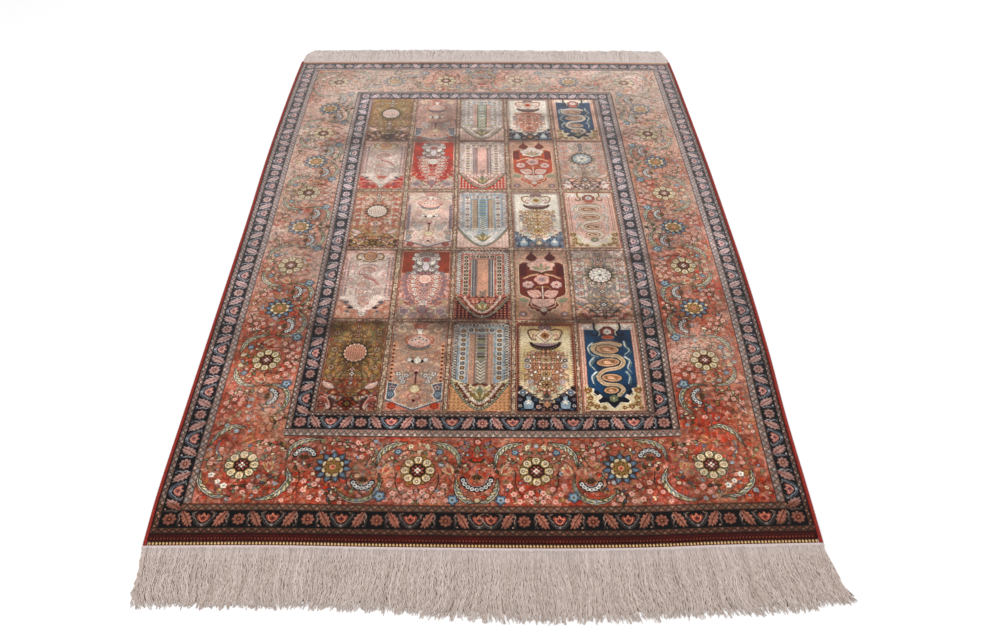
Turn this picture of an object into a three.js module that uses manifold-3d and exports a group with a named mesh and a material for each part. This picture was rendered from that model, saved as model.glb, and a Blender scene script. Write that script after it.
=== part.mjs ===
// A hand-knotted silk rug lying flat, in millimetres, +Z up.
// X runs across the rug and Y along it, from the near end to the far end.
// The origin is on the floor, under the middle of the woven part.

import * as THREE from 'three';
import { mergeVertices } from 'three/addons/utils/BufferGeometryUtils.js';
import Module from 'manifold-3d';

const wasm = await Module();
wasm.setup();

// Driving dimensions

const PILE_HEIGHT = 5;          // foundation and pile together
const PIECE_GAP = 0.3;          // daylight between neighbouring pieces
const LENGTH_STEPS = 38;        // stations along each side, shared so that neighbours keep their gap
const SELVEDGE_WIDTH = 9;       // the overcast cord along each side
const SELVEDGE_HEIGHT = 5;
const CHAIN_WIDTH = 8.4;        // the row of chain stitches across each end
const CHAIN_HEIGHT = 4;
const BACKING_WIDTH = 8;        // the flat strip of bare warp that the fringe grows from
const BACKING_HEIGHT = 2.6;

// The outline bows out a little, as a hand-woven rug does. Distances are from the centre lines.
const SIDE_OUTLINE = [
  { along: -946, left: 638, right: 637 },
  { along: -830, left: 643, right: 640 },
  { along: -640, left: 644, right: 644 },
  { along: -440, left: 645, right: 653 },
  { along: -200, left: 646, right: 658 },
  { along: 60, left: 647, right: 657 },
  { along: 330, left: 651, right: 654 },
  { along: 600, left: 650, right: 648 },
  { along: 850, left: 645, right: 641 },
  { along: 950, left: 641, right: 636 },
];
const END_OUTLINE = [
  { across: -640, near: 941, far: 947 },
  { across: -400, near: 941.5, far: 950.5 },
  { across: -180, near: 946.5, far: 953 },
  { across: 120, near: 951, far: 953.5 },
  { across: 300, near: 950, far: 951 },
  { across: 440, near: 945, far: 949 },
  { across: 640, near: 941, far: 945 },
];

// Soft ridges left in the pile where the rug was folded away
const FOLD_RIDGES = [
  { along: -330, slope: 0.05, width: 34, height: 1.1 },
  { along: 30, slope: -0.04, width: 30, height: 0.9 },
  { along: 455, slope: 0.03, width: 36, height: 1.2 },
];

// The fringe of each end: how many locks, their length, and the drift of their tips to one side
const NEAR_FRINGE = {
  end: -1, locks: 128, steps: 4, seed: 11,
  reach: [
    { across: -640, length: 121, drift: 18 },
    { across: -480, length: 124, drift: 8 },
    { across: -250, length: 124, drift: -3 },
    { across: -60, length: 137, drift: -8 },
    { across: 120, length: 144, drift: 6 },
    { across: 350, length: 139, drift: 12 },
    { across: 540, length: 134, drift: 20 },
    { across: 640, length: 118, drift: 30 },
  ],
};
const FAR_FRINGE = {
  end: 1, locks: 112, steps: 3, seed: 29,
  reach: [
    { across: -640, length: 88, drift: 30 },
    { across: -430, length: 90, drift: -4 },
    { across: -100, length: 89, drift: 5 },
    { across: 200, length: 86, drift: -6 },
    { across: 450, length: 90, drift: 3 },
    { across: 640, length: 89, drift: -22 },
  ],
};
const LOCK_WIDTH = 7.4;         // at the root, on the floor
const LOCK_HEIGHT = 4.2;
const LOCK_TIP = 0.45;          // the tip's share of the root's width and height
const WAVE_SIZE = 5;            // how far a lock waves to each side
const WAVE_SPAN = 210;          // the distance across which the waves of the locks repeat

// Colours are those of the piece as a whole; its pattern is a matter of yarn colour alone.
const MATERIALS = {
  pile: { color: 0xb06a50, roughness: 0.62, metalness: 0 },
  selvedge: { color: 0xb5321c, roughness: 0.7, metalness: 0 },
  chain: { color: 0xc9ad6a, roughness: 0.75, metalness: 0 },
  fringe: { color: 0xcfc0b4, roughness: 0.85, metalness: 0 },
};

// Reads one column of a table at a place, along a smooth curve that passes through every row.
// Each row's slope is that of the line between its two neighbours.
function read(table, key, column, place) {
  const last = table.length - 1;
  const next = Math.max(1, table.findIndex((r, i) => i === last || r[key] > place));
  const slope = (i) => {
    const before = table[Math.max(0, i - 1)];
    const after = table[Math.min(last, i + 1)];
    return (after[column] - before[column]) / (after[key] - before[key]);
  };
  const from = table[next - 1];
  const to = table[next];
  const span = to[key] - from[key];
  const t = THREE.MathUtils.clamp((place - from[key]) / span, 0, 1);
  const ease = t * t * (3 - 2 * t);
  const leave = t * (1 - t) * (1 - t) * span * slope(next - 1);
  const arrive = t * t * (1 - t) * span * slope(next);
  return THREE.MathUtils.lerp(from[column], to[column], ease) + leave - arrive;
}

const leftEdge = (y) => -read(SIDE_OUTLINE, 'along', 'left', y);
const rightEdge = (y) => read(SIDE_OUTLINE, 'along', 'right', y);
const nearEdge = (x) => -read(END_OUTLINE, 'across', 'near', x);
const farEdge = (x) => read(END_OUTLINE, 'across', 'far', x);
const endEdge = (end, x) => (end < 0 ? nearEdge(x) : farEdge(x));

// How much the pile stands up at a place, over its fold ridges.
function ridge(x, y) {
  return FOLD_RIDGES.reduce((sum, r) => {
    const off = (y - r.along - r.slope * x) / r.width;
    return sum + r.height * Math.exp(-off * off);
  }, 0);
}

// A steady stream of numbers from 0 to 1, the same every time for one seed.
function stream(seed) {
  let state = seed * 7919;
  return () => {
    state = (state * 1103515245 + 12345) % 2147483648;
    return state / 2147483648;
  };
}

// Moves every vertex of a geometry by a function of its place, and drops what the move makes untrue.
function shaped(geometry, place) {
  const position = geometry.attributes.position;
  const at = new THREE.Vector3();
  for (let i = 0; i < position.count; i += 1) {
    at.fromBufferAttribute(position, i);
    place(at);
    position.setXYZ(i, at.x, at.y, at.z);
  }
  geometry.deleteAttribute('normal');
  geometry.deleteAttribute('uv');
  return mergeVertices(geometry, 0.001);
}

// The woven body: a thin slab whose four edges follow the outline, with its knotted ends square.
function bodyGeometry() {
  const inset = SELVEDGE_WIDTH + PIECE_GAP;
  const endInset = CHAIN_WIDTH + PIECE_GAP;
  const width = SIDE_OUTLINE[0].left;
  return shaped(new THREE.BoxGeometry(1, 1, 1, 10, LENGTH_STEPS, 1), (at) => {
    const u = at.x + 0.5;
    const v = at.y + 0.5;
    const across = THREE.MathUtils.lerp(-width, width, u);
    const y = THREE.MathUtils.lerp(nearEdge(across) + endInset, farEdge(across) - endInset, v);
    const x = THREE.MathUtils.lerp(leftEdge(y) + inset, rightEdge(y) - inset, u);
    const top = at.z > 0;
    at.set(x, y, top ? PILE_HEIGHT + ridge(x, y) : 0);
  });
}

// A selvedge: an eight-sided cord along one side, flat where it lies on the floor.
function selvedgeGeometry(side) {
  const edge = side < 0 ? leftEdge : rightEdge;
  const corner = side * SIDE_OUTLINE[0].left;
  const sides = 8;
  const turn = Math.PI / sides;
  const reach = Math.cos(turn);
  const cord = new THREE.CylinderGeometry(1, 1, 1, sides, LENGTH_STEPS, false, turn);
  return shaped(cord, (at) => {
    const y = THREE.MathUtils.lerp(nearEdge(corner), farEdge(corner), at.y + 0.5);
    const middle = edge(y) - side * (SELVEDGE_WIDTH / 2);
    const x = middle + (at.x / reach) * (SELVEDGE_WIDTH / 2);
    const z = ((at.z / reach + 1) * SELVEDGE_HEIGHT) / 2;
    at.set(x, y, z);
  });
}

// A strip across one end, between two distances out from the woven edge, with a crowned top.
function endStrip(end, from, to, height, crown, inset) {
  return shaped(new THREE.BoxGeometry(1, 1, 1, 28, 2, 1), (at) => {
    const edgeY = endEdge(end, 0);
    const x = THREE.MathUtils.lerp(leftEdge(edgeY) + inset, rightEdge(edgeY) - inset, at.x + 0.5);
    const y = endEdge(end, x) + end * THREE.MathUtils.lerp(from, to, at.y * end + 0.5);
    const middle = 1 - Math.abs(at.y) * 2;
    at.set(x, y, at.z > 0 ? height * (1 - crown * (1 - middle)) : 0);
  });
}

// The row of chain stitches between the pile and the fringe.
function chainGeometry(end) {
  return endStrip(end, -CHAIN_WIDTH, 0, CHAIN_HEIGHT, 0.3, SELVEDGE_WIDTH + PIECE_GAP);
}

// One lock of fringe: a three-sided bar that tapers and waves, level on the floor. A little of its
// root lies inside the backing strip.
function lockGeometry(fringe, across, random) {
  const { end, reach, steps } = fringe;
  const length = read(reach, 'across', 'length', across) * (0.94 + 0.12 * random());
  const drift = read(reach, 'across', 'drift', across);
  const phase = (across / WAVE_SPAN) * Math.PI * 2 + end;
  const halfWidth = (LOCK_WIDTH / 2) * (0.94 + 0.1 * random());
  const height = LOCK_HEIGHT * (0.85 + 0.3 * random());
  const start = PIECE_GAP + BACKING_WIDTH * 0.6;
  const wave = (t) => WAVE_SIZE * t * Math.sin(phase + t * Math.PI * 2.2);
  const low = -Math.cos(Math.PI / 3);
  const wide = Math.sin(Math.PI / 3);
  return shaped(new THREE.CylinderGeometry(1, 1, 1, 3, steps), (at) => {
    const t = at.y * end + 0.5;
    const taper = THREE.MathUtils.lerp(1, LOCK_TIP, t * t);
    const x = across + drift * t * t + wave(t) + (at.x / wide) * halfWidth * taper;
    const y = endEdge(end, across) + end * THREE.MathUtils.lerp(start, length, t);
    at.set(x, y, ((at.z - low) / (1 - low)) * height * taper);
  });
}

// A closed mesh as a solid that can be joined to others.
function toSolid(geometry) {
  return new wasm.Manifold(new wasm.Mesh({
    numProp: 3,
    vertProperties: Float32Array.from(geometry.attributes.position.array),
    triVerts: Uint32Array.from(geometry.index.array),
  }));
}

function toGeometry(solid) {
  const mesh = solid.getMesh();
  const geometry = new THREE.BufferGeometry();
  geometry.setAttribute('position', new THREE.BufferAttribute(mesh.vertProperties, 3));
  geometry.setIndex(new THREE.BufferAttribute(mesh.triVerts, 1));
  return geometry;
}

// The fringe of one end: its locks stand apart, and their roots are fused into the backing strip.
function fringeGeometry(fringe) {
  const { end, locks, seed } = fringe;
  const random = stream(seed);
  const edgeY = endEdge(end, 0);
  const left = leftEdge(edgeY) + LOCK_WIDTH;
  const right = rightEdge(edgeY) - LOCK_WIDTH;
  const backing = endStrip(end, PIECE_GAP, PIECE_GAP + BACKING_WIDTH, BACKING_HEIGHT, 0.15, 0);
  let solid = toSolid(backing);
  for (let i = 0; i < locks; i += 1) {
    const across = THREE.MathUtils.lerp(left, right, i / (locks - 1));
    solid = solid.add(toSolid(lockGeometry(fringe, across, random)));
  }
  return toGeometry(solid);
}

function piece(name, geometry, finish) {
  const mesh = new THREE.Mesh(geometry, new THREE.MeshStandardMaterial(MATERIALS[finish]));
  mesh.name = name;
  return mesh;
}

const rug = new THREE.Group();
rug.add(
  piece('rug_body', bodyGeometry(), 'pile'),
  piece('selvedge_left', selvedgeGeometry(-1), 'selvedge'),
  piece('selvedge_right', selvedgeGeometry(1), 'selvedge'),
  piece('end_chain_near', chainGeometry(-1), 'chain'),
  piece('end_chain_far', chainGeometry(1), 'chain'),
  piece('fringe_near', fringeGeometry(NEAR_FRINGE), 'fringe'),
  piece('fringe_far', fringeGeometry(FAR_FRINGE), 'fringe'),
);

export default rug;
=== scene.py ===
# %% [markdown]
# # A knotted silk rug, dressed
# The frame is the rug as plain solids: a slab for the woven body, a cord along each side, a row of
# chain stitches and a fringe at each end. This notebook gives it what the eye sees: a pile whose
# pattern is drawn knot by knot on a chart, and yarns that wave. The rug lies flat, near end at -Y.

import bpy
import numpy as np
from math import cos, radians, sin
from mathutils import Matrix, Vector


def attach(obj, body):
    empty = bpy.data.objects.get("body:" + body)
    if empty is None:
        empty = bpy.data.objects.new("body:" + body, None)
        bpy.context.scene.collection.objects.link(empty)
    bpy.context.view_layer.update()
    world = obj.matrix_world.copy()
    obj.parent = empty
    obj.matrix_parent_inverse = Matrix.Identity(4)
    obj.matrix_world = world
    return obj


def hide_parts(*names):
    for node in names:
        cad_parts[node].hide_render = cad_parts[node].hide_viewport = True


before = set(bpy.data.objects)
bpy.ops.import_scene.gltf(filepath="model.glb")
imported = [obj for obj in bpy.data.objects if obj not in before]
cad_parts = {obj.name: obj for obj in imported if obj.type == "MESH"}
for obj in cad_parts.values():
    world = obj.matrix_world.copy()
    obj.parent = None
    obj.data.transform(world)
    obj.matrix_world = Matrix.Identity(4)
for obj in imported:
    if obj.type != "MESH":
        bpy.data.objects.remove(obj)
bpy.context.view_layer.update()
MM = 0.001

# %% [markdown]
# The camera stands at the near end, at the height of a raised arm, and looks down on the rug. Its
# place follows from the four corners of the woven part, whose real places are known.

# %% Camera
CAMERA_PLACE = (0.011, -1.786, 1.403)
CAMERA_DOWN = 44.14  # degrees below the horizon
CAMERA_YAW = 0.916   # towards +X
CAMERA_ROLL = 0.553
LENS = 30.42         # for the full sensor width of 36 mm

camera = bpy.data.objects.new("camera", bpy.data.cameras.new("camera"))
bpy.context.collection.objects.link(camera)
down, yaw, roll = (radians(angle) for angle in (CAMERA_DOWN, CAMERA_YAW, CAMERA_ROLL))
forward = Vector((sin(yaw) * cos(down), cos(yaw) * cos(down), -sin(down)))
level = Vector((cos(yaw), -sin(yaw), 0))
over = level.cross(forward)
right = cos(roll) * level + sin(roll) * over
up = cos(roll) * over - sin(roll) * level
camera.matrix_world = Matrix.Translation(CAMERA_PLACE) @ Matrix((right, up, -forward)).transposed().to_4x4()
camera.data.lens = LENS
camera.data.sensor_width = 36
bpy.context.scene.camera = camera

# %% [markdown]
# The room is a plain white floor under a wide soft light. A large lamp over the far end grazes the
# pile, which is what makes silk look paler from one side than from the other.

# %% Floor and lights
FLOOR_SIZE = 24.0
WORLD_LIGHT = 0.80
LAMPS = [
    # place, aim, size, watts
    ((-1.6, -2.2, 3.4), (0, 0, 0), 2.6, 50),
    ((2.0, 1.8, 3.2), (0, 0.2, 0), 2.6, 42),
]

bpy.context.scene.view_settings.view_transform = "Standard"
world = bpy.data.worlds.new("studio")
bpy.context.scene.world = world
world.use_nodes = True
world.node_tree.nodes["Background"].inputs["Color"].default_value = (1.0, 1.0, 1.0, 1)
world.node_tree.nodes["Background"].inputs["Strength"].default_value = WORLD_LIGHT
for number, (place, aim, size, watts) in enumerate(LAMPS):
    lamp = bpy.data.objects.new(f"lamp_{number}", bpy.data.lights.new(f"lamp_{number}", "AREA"))
    lamp.data.shape = "SQUARE"
    lamp.data.size = size
    lamp.data.energy = watts
    lamp.location = place
    lamp.rotation_euler = (Vector(aim) - Vector(place)).to_track_quat("-Z", "Y").to_euler()
    bpy.context.collection.objects.link(lamp)

floor_mesh = bpy.data.meshes.new("floor")
half = FLOOR_SIZE / 2
floor_mesh.from_pydata([(-half, -half, 0), (half, -half, 0), (half, half, 0), (-half, half, 0)], [],
                       [(0, 1, 2, 3)])
floor = bpy.data.objects.new("floor", floor_mesh)
bpy.context.collection.objects.link(floor)
floor_finish = bpy.data.materials.new("floor paint")
floor_finish.use_nodes = True
floor_finish.node_tree.nodes["Principled BSDF"].inputs["Base Color"].default_value = (0.97, 0.97, 0.97, 1)
floor_finish.node_tree.nodes["Principled BSDF"].inputs["Roughness"].default_value = 0.9
floor_finish.node_tree.nodes["Principled BSDF"].inputs["Specular IOR Level"].default_value = 0.1
floor_mesh.materials.append(floor_finish)
print("camera at", CAMERA_PLACE, "lamps", len(LAMPS))

# %% [markdown]
# The yarns. A silk rug of this kind is dyed in many shades: warm reds and rusts, navy and greyed
# blues, olives, and several creams. They are given as plain red, green and blue from 0 to 1.

# %% Yarn shades
YARN = {
    "rust": (0.66, 0.27, 0.16), "ember": (0.72, 0.22, 0.12), "crimson": (0.66, 0.14, 0.08),
    "wine": (0.30, 0.07, 0.05), "brown": (0.18, 0.10, 0.07),
    "navy": (0.10, 0.10, 0.14), "night": (0.06, 0.06, 0.07), "teal": (0.12, 0.26, 0.38),
    "blue": (0.36, 0.45, 0.53), "sky": (0.57, 0.63, 0.66), "slate": (0.35, 0.36, 0.39),
    "cream": (0.81, 0.75, 0.62), "white": (0.86, 0.82, 0.76), "sand": (0.70, 0.59, 0.46),
    "gold": (0.60, 0.47, 0.24), "olive": (0.46, 0.38, 0.17), "moss": (0.29, 0.28, 0.15),
    "sage": (0.50, 0.52, 0.40), "salmon": (0.75, 0.48, 0.38), "peach": (0.78, 0.58, 0.44),
    "pink": (0.81, 0.65, 0.59), "rose": (0.62, 0.33, 0.27), "mauve": (0.57, 0.47, 0.48),
    "stone": (0.56, 0.49, 0.44), "umber": (0.34, 0.22, 0.16), "tan": (0.74, 0.56, 0.46),
    "russet": (0.42, 0.16, 0.10), "bronze": (0.50, 0.35, 0.19), "brick": (0.58, 0.24, 0.14),
    "pearl": (0.83, 0.76, 0.71), "garnet": (0.34, 0.06, 0.03), "blush": (0.64, 0.50, 0.45),
    "lilac": (0.80, 0.75, 0.76),
}

# %% [markdown]
# A knotted pile is a chart made solid: every knot is one yarn colour. So the design is first drawn on
# a chart in millimetres, seen from above, and the pile takes its colours from there. The chart could
# be a picture file, but drawn shapes stay sharp at any size, and a repeat is drawn once and laid down
# many times, which is how the weaver reads it too.

# %% The chart and the pen that draws on it
class Chart:
    """A grid of yarn colours over a rectangle, in millimetres; row 0 is the near end."""

    def __init__(self, west, south, east, north, step):
        self.west, self.south, self.step = west, south, step
        self.size = (round((north - south) / step), round((east - west) / step))
        self.colour = np.zeros((*self.size, 3), np.float32)

    def window(self, low, high):
        """The part of the grid between two corners: its slices, and the places of its cells."""
        origin = np.array([self.west, self.south])
        first = np.floor((np.asarray(low) - origin) / self.step).astype(int)
        last = np.ceil((np.asarray(high) - origin) / self.step).astype(int)
        first = np.clip(first, 0, (self.size[1], self.size[0]))
        last = np.clip(last, 0, (self.size[1], self.size[0]))
        x = self.west + (np.arange(first[0], last[0]) + 0.5) * self.step
        y = self.south + (np.arange(first[1], last[1]) + 0.5) * self.step
        part = (slice(first[1], last[1]), slice(first[0], last[0]))
        return part, x.astype(np.float32), y.astype(np.float32)

    def lay(self, part, cover, yarn):
        """Lays a yarn over a part of the grid; cover is 0 where it is not seen and 1 where it is."""
        cell = self.colour[part]
        cell += cover[..., None] * (np.array(YARN[yarn], np.float32) - cell)


def inside_distance(x, y, points):
    """Distance of each cell from an outline, negative inside: the nearest point of each edge, and a
    count of the edges that a line to the right would cross."""
    a = points.astype(np.float32)
    edge = np.roll(a, -1, axis=0) - a
    px = x[None, :, None] - a[:, 0]
    py = y[:, None, None] - a[:, 1]
    length = np.maximum((edge ** 2).sum(axis=1), 1e-9)
    along = np.clip((px * edge[:, 0] + py * edge[:, 1]) / length, 0, 1)
    near = ((px - along * edge[:, 0]) ** 2 + (py - along * edge[:, 1]) ** 2).min(axis=-1)
    rise = np.where(np.abs(edge[:, 1]) < 1e-6, 1e-6, edge[:, 1])
    straddles = (a[:, 1] > y[:, None, None]) != (a[:, 1] + edge[:, 1] > y[:, None, None])
    crossed = straddles & (px < edge[:, 0] * py / rise)
    return np.where(crossed.sum(axis=-1) % 2 == 1, -1, 1) * np.sqrt(near)


class Pen:
    """Draws outlines and lines at one or more places of a chart at once, which gives mirrored and
    turned copies. Each place is a 2 by 2 turn and a shift."""

    def __init__(self, chart, places=((np.eye(2), np.zeros(2)),), clip=None):
        self.chart, self.places = chart, places
        self.clip = clip or (chart.west, chart.south, 1e9, 1e9)

    def at(self, x=0.0, y=0.0, turn=0.0, size=1.0, flip=False):
        """The same pen, moved, turned by degrees, sized, and mirrored left to right first if asked."""
        c, s = np.cos(np.radians(turn)), np.sin(np.radians(turn))
        local = size * np.array([[c, -s], [s, c]]) @ np.diag([-1.0 if flip else 1.0, 1.0])
        moved = [(m @ local, m @ np.array([x, y]) + shift) for m, shift in self.places]
        return Pen(self.chart, moved, self.clip)

    def copies(self, pens):
        """One pen that draws at all places of several."""
        return Pen(self.chart, [place for pen in pens for place in pen.places], self.clip)

    def stretched(self, across, along):
        """The same pen, its drawings widened and lengthened."""
        return Pen(self.chart, [(m @ np.diag([across, along]), s) for m, s in self.places], self.clip)

    def mirrored(self):
        """The same pen, and its mirror image to the left."""
        return self.copies([self, self.at(flip=True)])

    def ring(self, count, start=0.0):
        """A pen that draws evenly round its place, from an angle in degrees."""
        return self.copies([self.at(turn=start + 360 * i / count) for i in range(count)])

    def within(self, west, south, east, north):
        """The same pen, kept inside a rectangle of the chart."""
        return Pen(self.chart, self.places, (west, south, east, north))

    def _window(self, low, high):
        """The part of the chart between two corners that is inside the clip."""
        low = np.maximum(low, self.clip[:2])
        high = np.minimum(high, self.clip[2:])
        return self.chart.window(low, np.maximum(high, low))

    def all(self):
        """The part of the chart inside the pen's clip."""
        return self._window(np.array([-1e9, -1e9]), np.array([1e9, 1e9]))

    def fill(self, outline, yarn, rim=None, width=0.0, grow=0.0):
        """Fills an outline. A rim is a wider fill of another yarn, laid first."""
        if rim:
            self.fill(outline, rim, grow=width)
        for turn, shift in self.places:
            points = np.asarray(outline) @ turn.T + shift
            spread = grow * np.sqrt(abs(np.linalg.det(turn)))
            margin = max(spread, 0) + self.chart.step
            part, x, y = self._window(points.min(axis=0) - margin, points.max(axis=0) + margin)
            if len(x) and len(y):
                away = (inside_distance(x, y, points) - spread) / self.chart.step
                self.chart.lay(part, np.clip(0.5 - away, 0, 1), yarn)

    def line(self, path, width, yarn, tip=1.0):
        """Draws a line of a width that narrows to a share of it at its end."""
        path = np.asarray(path, float)
        widths = np.linspace(1, tip, len(path)) * width / 2
        for turn, shift in self.places:
            points = path @ turn.T + shift
            scale = np.sqrt(abs(np.linalg.det(turn)))
            margin = widths.max() * scale + self.chart.step
            part, x, y = self._window(points.min(axis=0) - margin, points.max(axis=0) + margin)
            if not len(x) or not len(y):
                continue
            cover = np.zeros((len(y), len(x)), np.float32)
            for a, b, half in zip(points[:-1], points[1:], widths * scale):
                low, high = np.minimum(a, b) - margin, np.maximum(a, b) + margin
                i0, i1 = np.searchsorted(x, (low[0], high[0]))
                j0, j1 = np.searchsorted(y, (low[1], high[1]))
                px, py = x[None, i0:i1] - a[0], y[j0:j1, None] - a[1]
                ex, ey = b - a
                along = np.clip((px * ex + py * ey) / max(ex * ex + ey * ey, 1e-9), 0, 1)
                away = (np.hypot(px - along * ex, py - along * ey) - half) / self.chart.step
                spot = cover[j0:j1, i0:i1]
                np.maximum(spot, np.clip(0.5 - away, 0, 1), out=spot)
            self.chart.lay(part, cover, yarn)

    def bend(self, points, count, width, yarn, tip=1.0):
        """A line that bends smoothly through a few points."""
        self.line(curve(points, count), width, yarn, tip)

    def dot(self, x, y, radius, yarn):
        """A round spot."""
        self.line([(x, y), (x + 1e-3, y)], 2 * radius, yarn)


# %% [markdown]
# A weaver's stock of shapes is small: petals, lobed rounds, ovals, lozenges and curling stems. Each
# is a formula or a smooth path through a few listed points, so a motif is read in a few lines.

# %% Outlines that the motifs are made of
def arc(radius, start, end, count=12, x=0.0, y=0.0, squash=1.0):
    """Points along a circle or a squashed one, from one angle to another in degrees."""
    a = np.radians(np.linspace(start, end, count))
    return np.stack([x + radius * np.cos(a), y + radius * squash * np.sin(a)], axis=1)


def oval(width, height, x=0.0, y=0.0, count=18):
    """An oval, or with a count of four a lozenge."""
    return arc(width / 2, 0, 360 * (count - 1) / count, count, x, y, height / width)


def petal(length, width, blunt=1.0, start=0.0, count=8):
    """A petal along +Y: its half width is a sine of the way along it, raised to a power."""
    t = np.linspace(0, 1, count)
    half = width / 2 * np.sin(np.pi * t ** blunt)
    right = np.stack([half, start + length * t], axis=1)
    return np.concatenate([right, right[-2:0:-1] * (-1, 1)])


def scallop(radius, count, depth=0.12, points=6, squash=1.0):
    """A ring of round lobes: the radius swells as the absolute sine of the angle."""
    a = np.linspace(0, 2 * np.pi, count * points, endpoint=False)
    r = radius * (1 - depth + depth * np.abs(np.sin(a * count / 2)))
    return np.stack([r * np.cos(a), squash * r * np.sin(a)], axis=1)


def box(west, south, east, north):
    """The four corners of a rectangle."""
    return np.array([(west, south), (east, south), (east, north), (west, north)], float)


def curve(points, count=8):
    """A smooth path through given points: each piece is a cubic whose slopes come from the
    neighbours on both sides."""
    p = np.asarray(points, float)
    ends = np.concatenate([[2 * p[0] - p[1]], p, [2 * p[-1] - p[-2]]])
    t = np.linspace(0, 1, count, endpoint=False)[:, None]
    parts = [
        b + 0.5 * t * (c - a + t * (2 * a - 5 * b + 4 * c - d + t * (3 * (b - c) + d - a)))
        for a, b, c, d in zip(ends[:-3], ends[1:-2], ends[2:-1], ends[3:])
    ]
    return np.concatenate([*parts, p[-1:]])


def stations(pen, path, spacing):
    """Pens at even steps along a path, each with its X along the path."""
    path = np.asarray(path, float)
    step = np.diff(path, axis=0)
    gone = np.concatenate([[0], np.cumsum(np.linalg.norm(step, axis=1))])
    places = np.arange(spacing / 2, gone[-1], spacing)
    piece = np.clip(np.searchsorted(gone, places) - 1, 0, len(step) - 1)
    turn = np.degrees(np.arctan2(step[piece, 1], step[piece, 0]))
    x, y = (np.interp(places, gone, path[:, k]) for k in (0, 1))
    return [pen.at(*row) for row in zip(x, y, turn)]

# %% [markdown]
# The bands. Every border is a frame round the next, so the plan is a short list of frames from the
# outside in. Each row gives how far in from the woven edge the frame starts, at the left, the right,
# the near and the far side. They differ a little, as they do on a rug that was beaten down by hand.

# %% Plan of the bands, in millimetres
WEST, EAST, SOUTH, NORTH = -645.0, 655.0, -946.0, 951.0
BANDS = {
    #             left  right  near   far
    "end_red":    (9.3, 9.3, 8.7, 8.7),
    "stripe_one": (10, 11, 23, 15),
    "outer_guard": (22, 20, 36, 21),
    "stripe_two": (57, 53, 73, 52),
    "main":       (74, 71, 89, 66),
    "stripe_three": (226, 236, 254, 214),
    "inner_guard": (240, 252, 275, 226),
    "stripe_four": (271, 283, 310, 256),
    "field":      (285, 298, 321, 263),
}


def corners(band):
    """The south-west and north-east corners of a band's outer edge."""
    left, right, near, far = BANDS[band]
    return (WEST + left, SOUTH + near), (EAST - right, NORTH - far)


def frame_band(chart, band, yarn):
    """Fills everything inside a band's outer edge."""
    part, x, y = chart.window(*corners(band))
    chart.lay(part, np.ones((len(y), len(x)), np.float32), yarn)


# %% [markdown]
# The narrow stripes are too small for drawn motifs. Each is a running vine that is worked out for
# all its cells at once: a zigzag line, with a bud in every bend.

# %% Narrow stripes
def vine_stripe(chart, outer, inner, ground, vine, buds, pitch=15.0):
    """Fills the frame between two bands. Along a side, a cell's place in the repeat gives a zigzag
    across the stripe; cells near the zigzag take the vine's yarn and the bends take the buds'."""
    (west, south), (east, north) = corners(outer)
    (inner_west, inner_south), (inner_east, inner_north) = corners(inner)
    sides = [
        ((west, south), (inner_west, north), 1), ((inner_east, south), (east, north), 1),
        ((west, south), (east, inner_south), 0), ((west, inner_north), (east, north), 0),
    ]
    for low, high, run in sides:
        part, x, y = chart.window(low, high)
        gx, gy = np.meshgrid(x, y)
        across, along = (gx, gy) if run else (gy, gx)
        middle = (low[1 - run] + high[1 - run]) / 2
        half = (high[1 - run] - low[1 - run]) / 2
        u = along / pitch
        swing = 2 * np.abs(2 * (u - np.floor(u + 0.5))) - 1
        t = (across - middle) / half
        cell = chart.colour[part]
        cell[:] = YARN[ground]
        away = np.abs(t - 0.52 * swing) * half * 0.75
        chart.lay(part, np.clip(1.3 - away, 0, 1), vine)
        turn = np.floor(2 * u + 0.5)
        spot = np.hypot((2 * u - turn) * pitch / 2, (t + 0.46 * np.where(turn % 2, 1, -1)) * half)
        for k, bud in enumerate(buds):
            chart.lay(part, np.clip(2.5 - spot, 0, 1) * (turn % len(buds) == k), bud)
        rim = half * (1 - np.abs(t))
        chart.lay(part, np.clip(1.9 - rim, 0, 1), "brown")
        chart.lay(part, np.clip(1.0 - np.abs(rim - 2.6), 0, 1) * 0.7, vine)


# %% [markdown]
# The guard borders, one outside and one inside the main border, share a repeat of about 130 mm on
# navy: a round flower, a slanting serrated leaf, a cup-shaped flower, the leaf again the other way.

# %% Guard border
def guard_flower(pen, size=1.0):
    """The round flower: eight petals round a red-brown heart."""
    p = pen.at(size=size)
    p.fill(scallop(14, 8, 0.14), "brown", "night", 2.0)
    p.ring(8).fill(petal(10.5, 6.6, 1.25, 3.0), "blush")
    p.ring(8).line([(0, 6), (0, 11)], 1.8, "rose")
    p.fill(oval(9, 9), "russet")
    p.dot(0, 0, 2.0, "peach")


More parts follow.
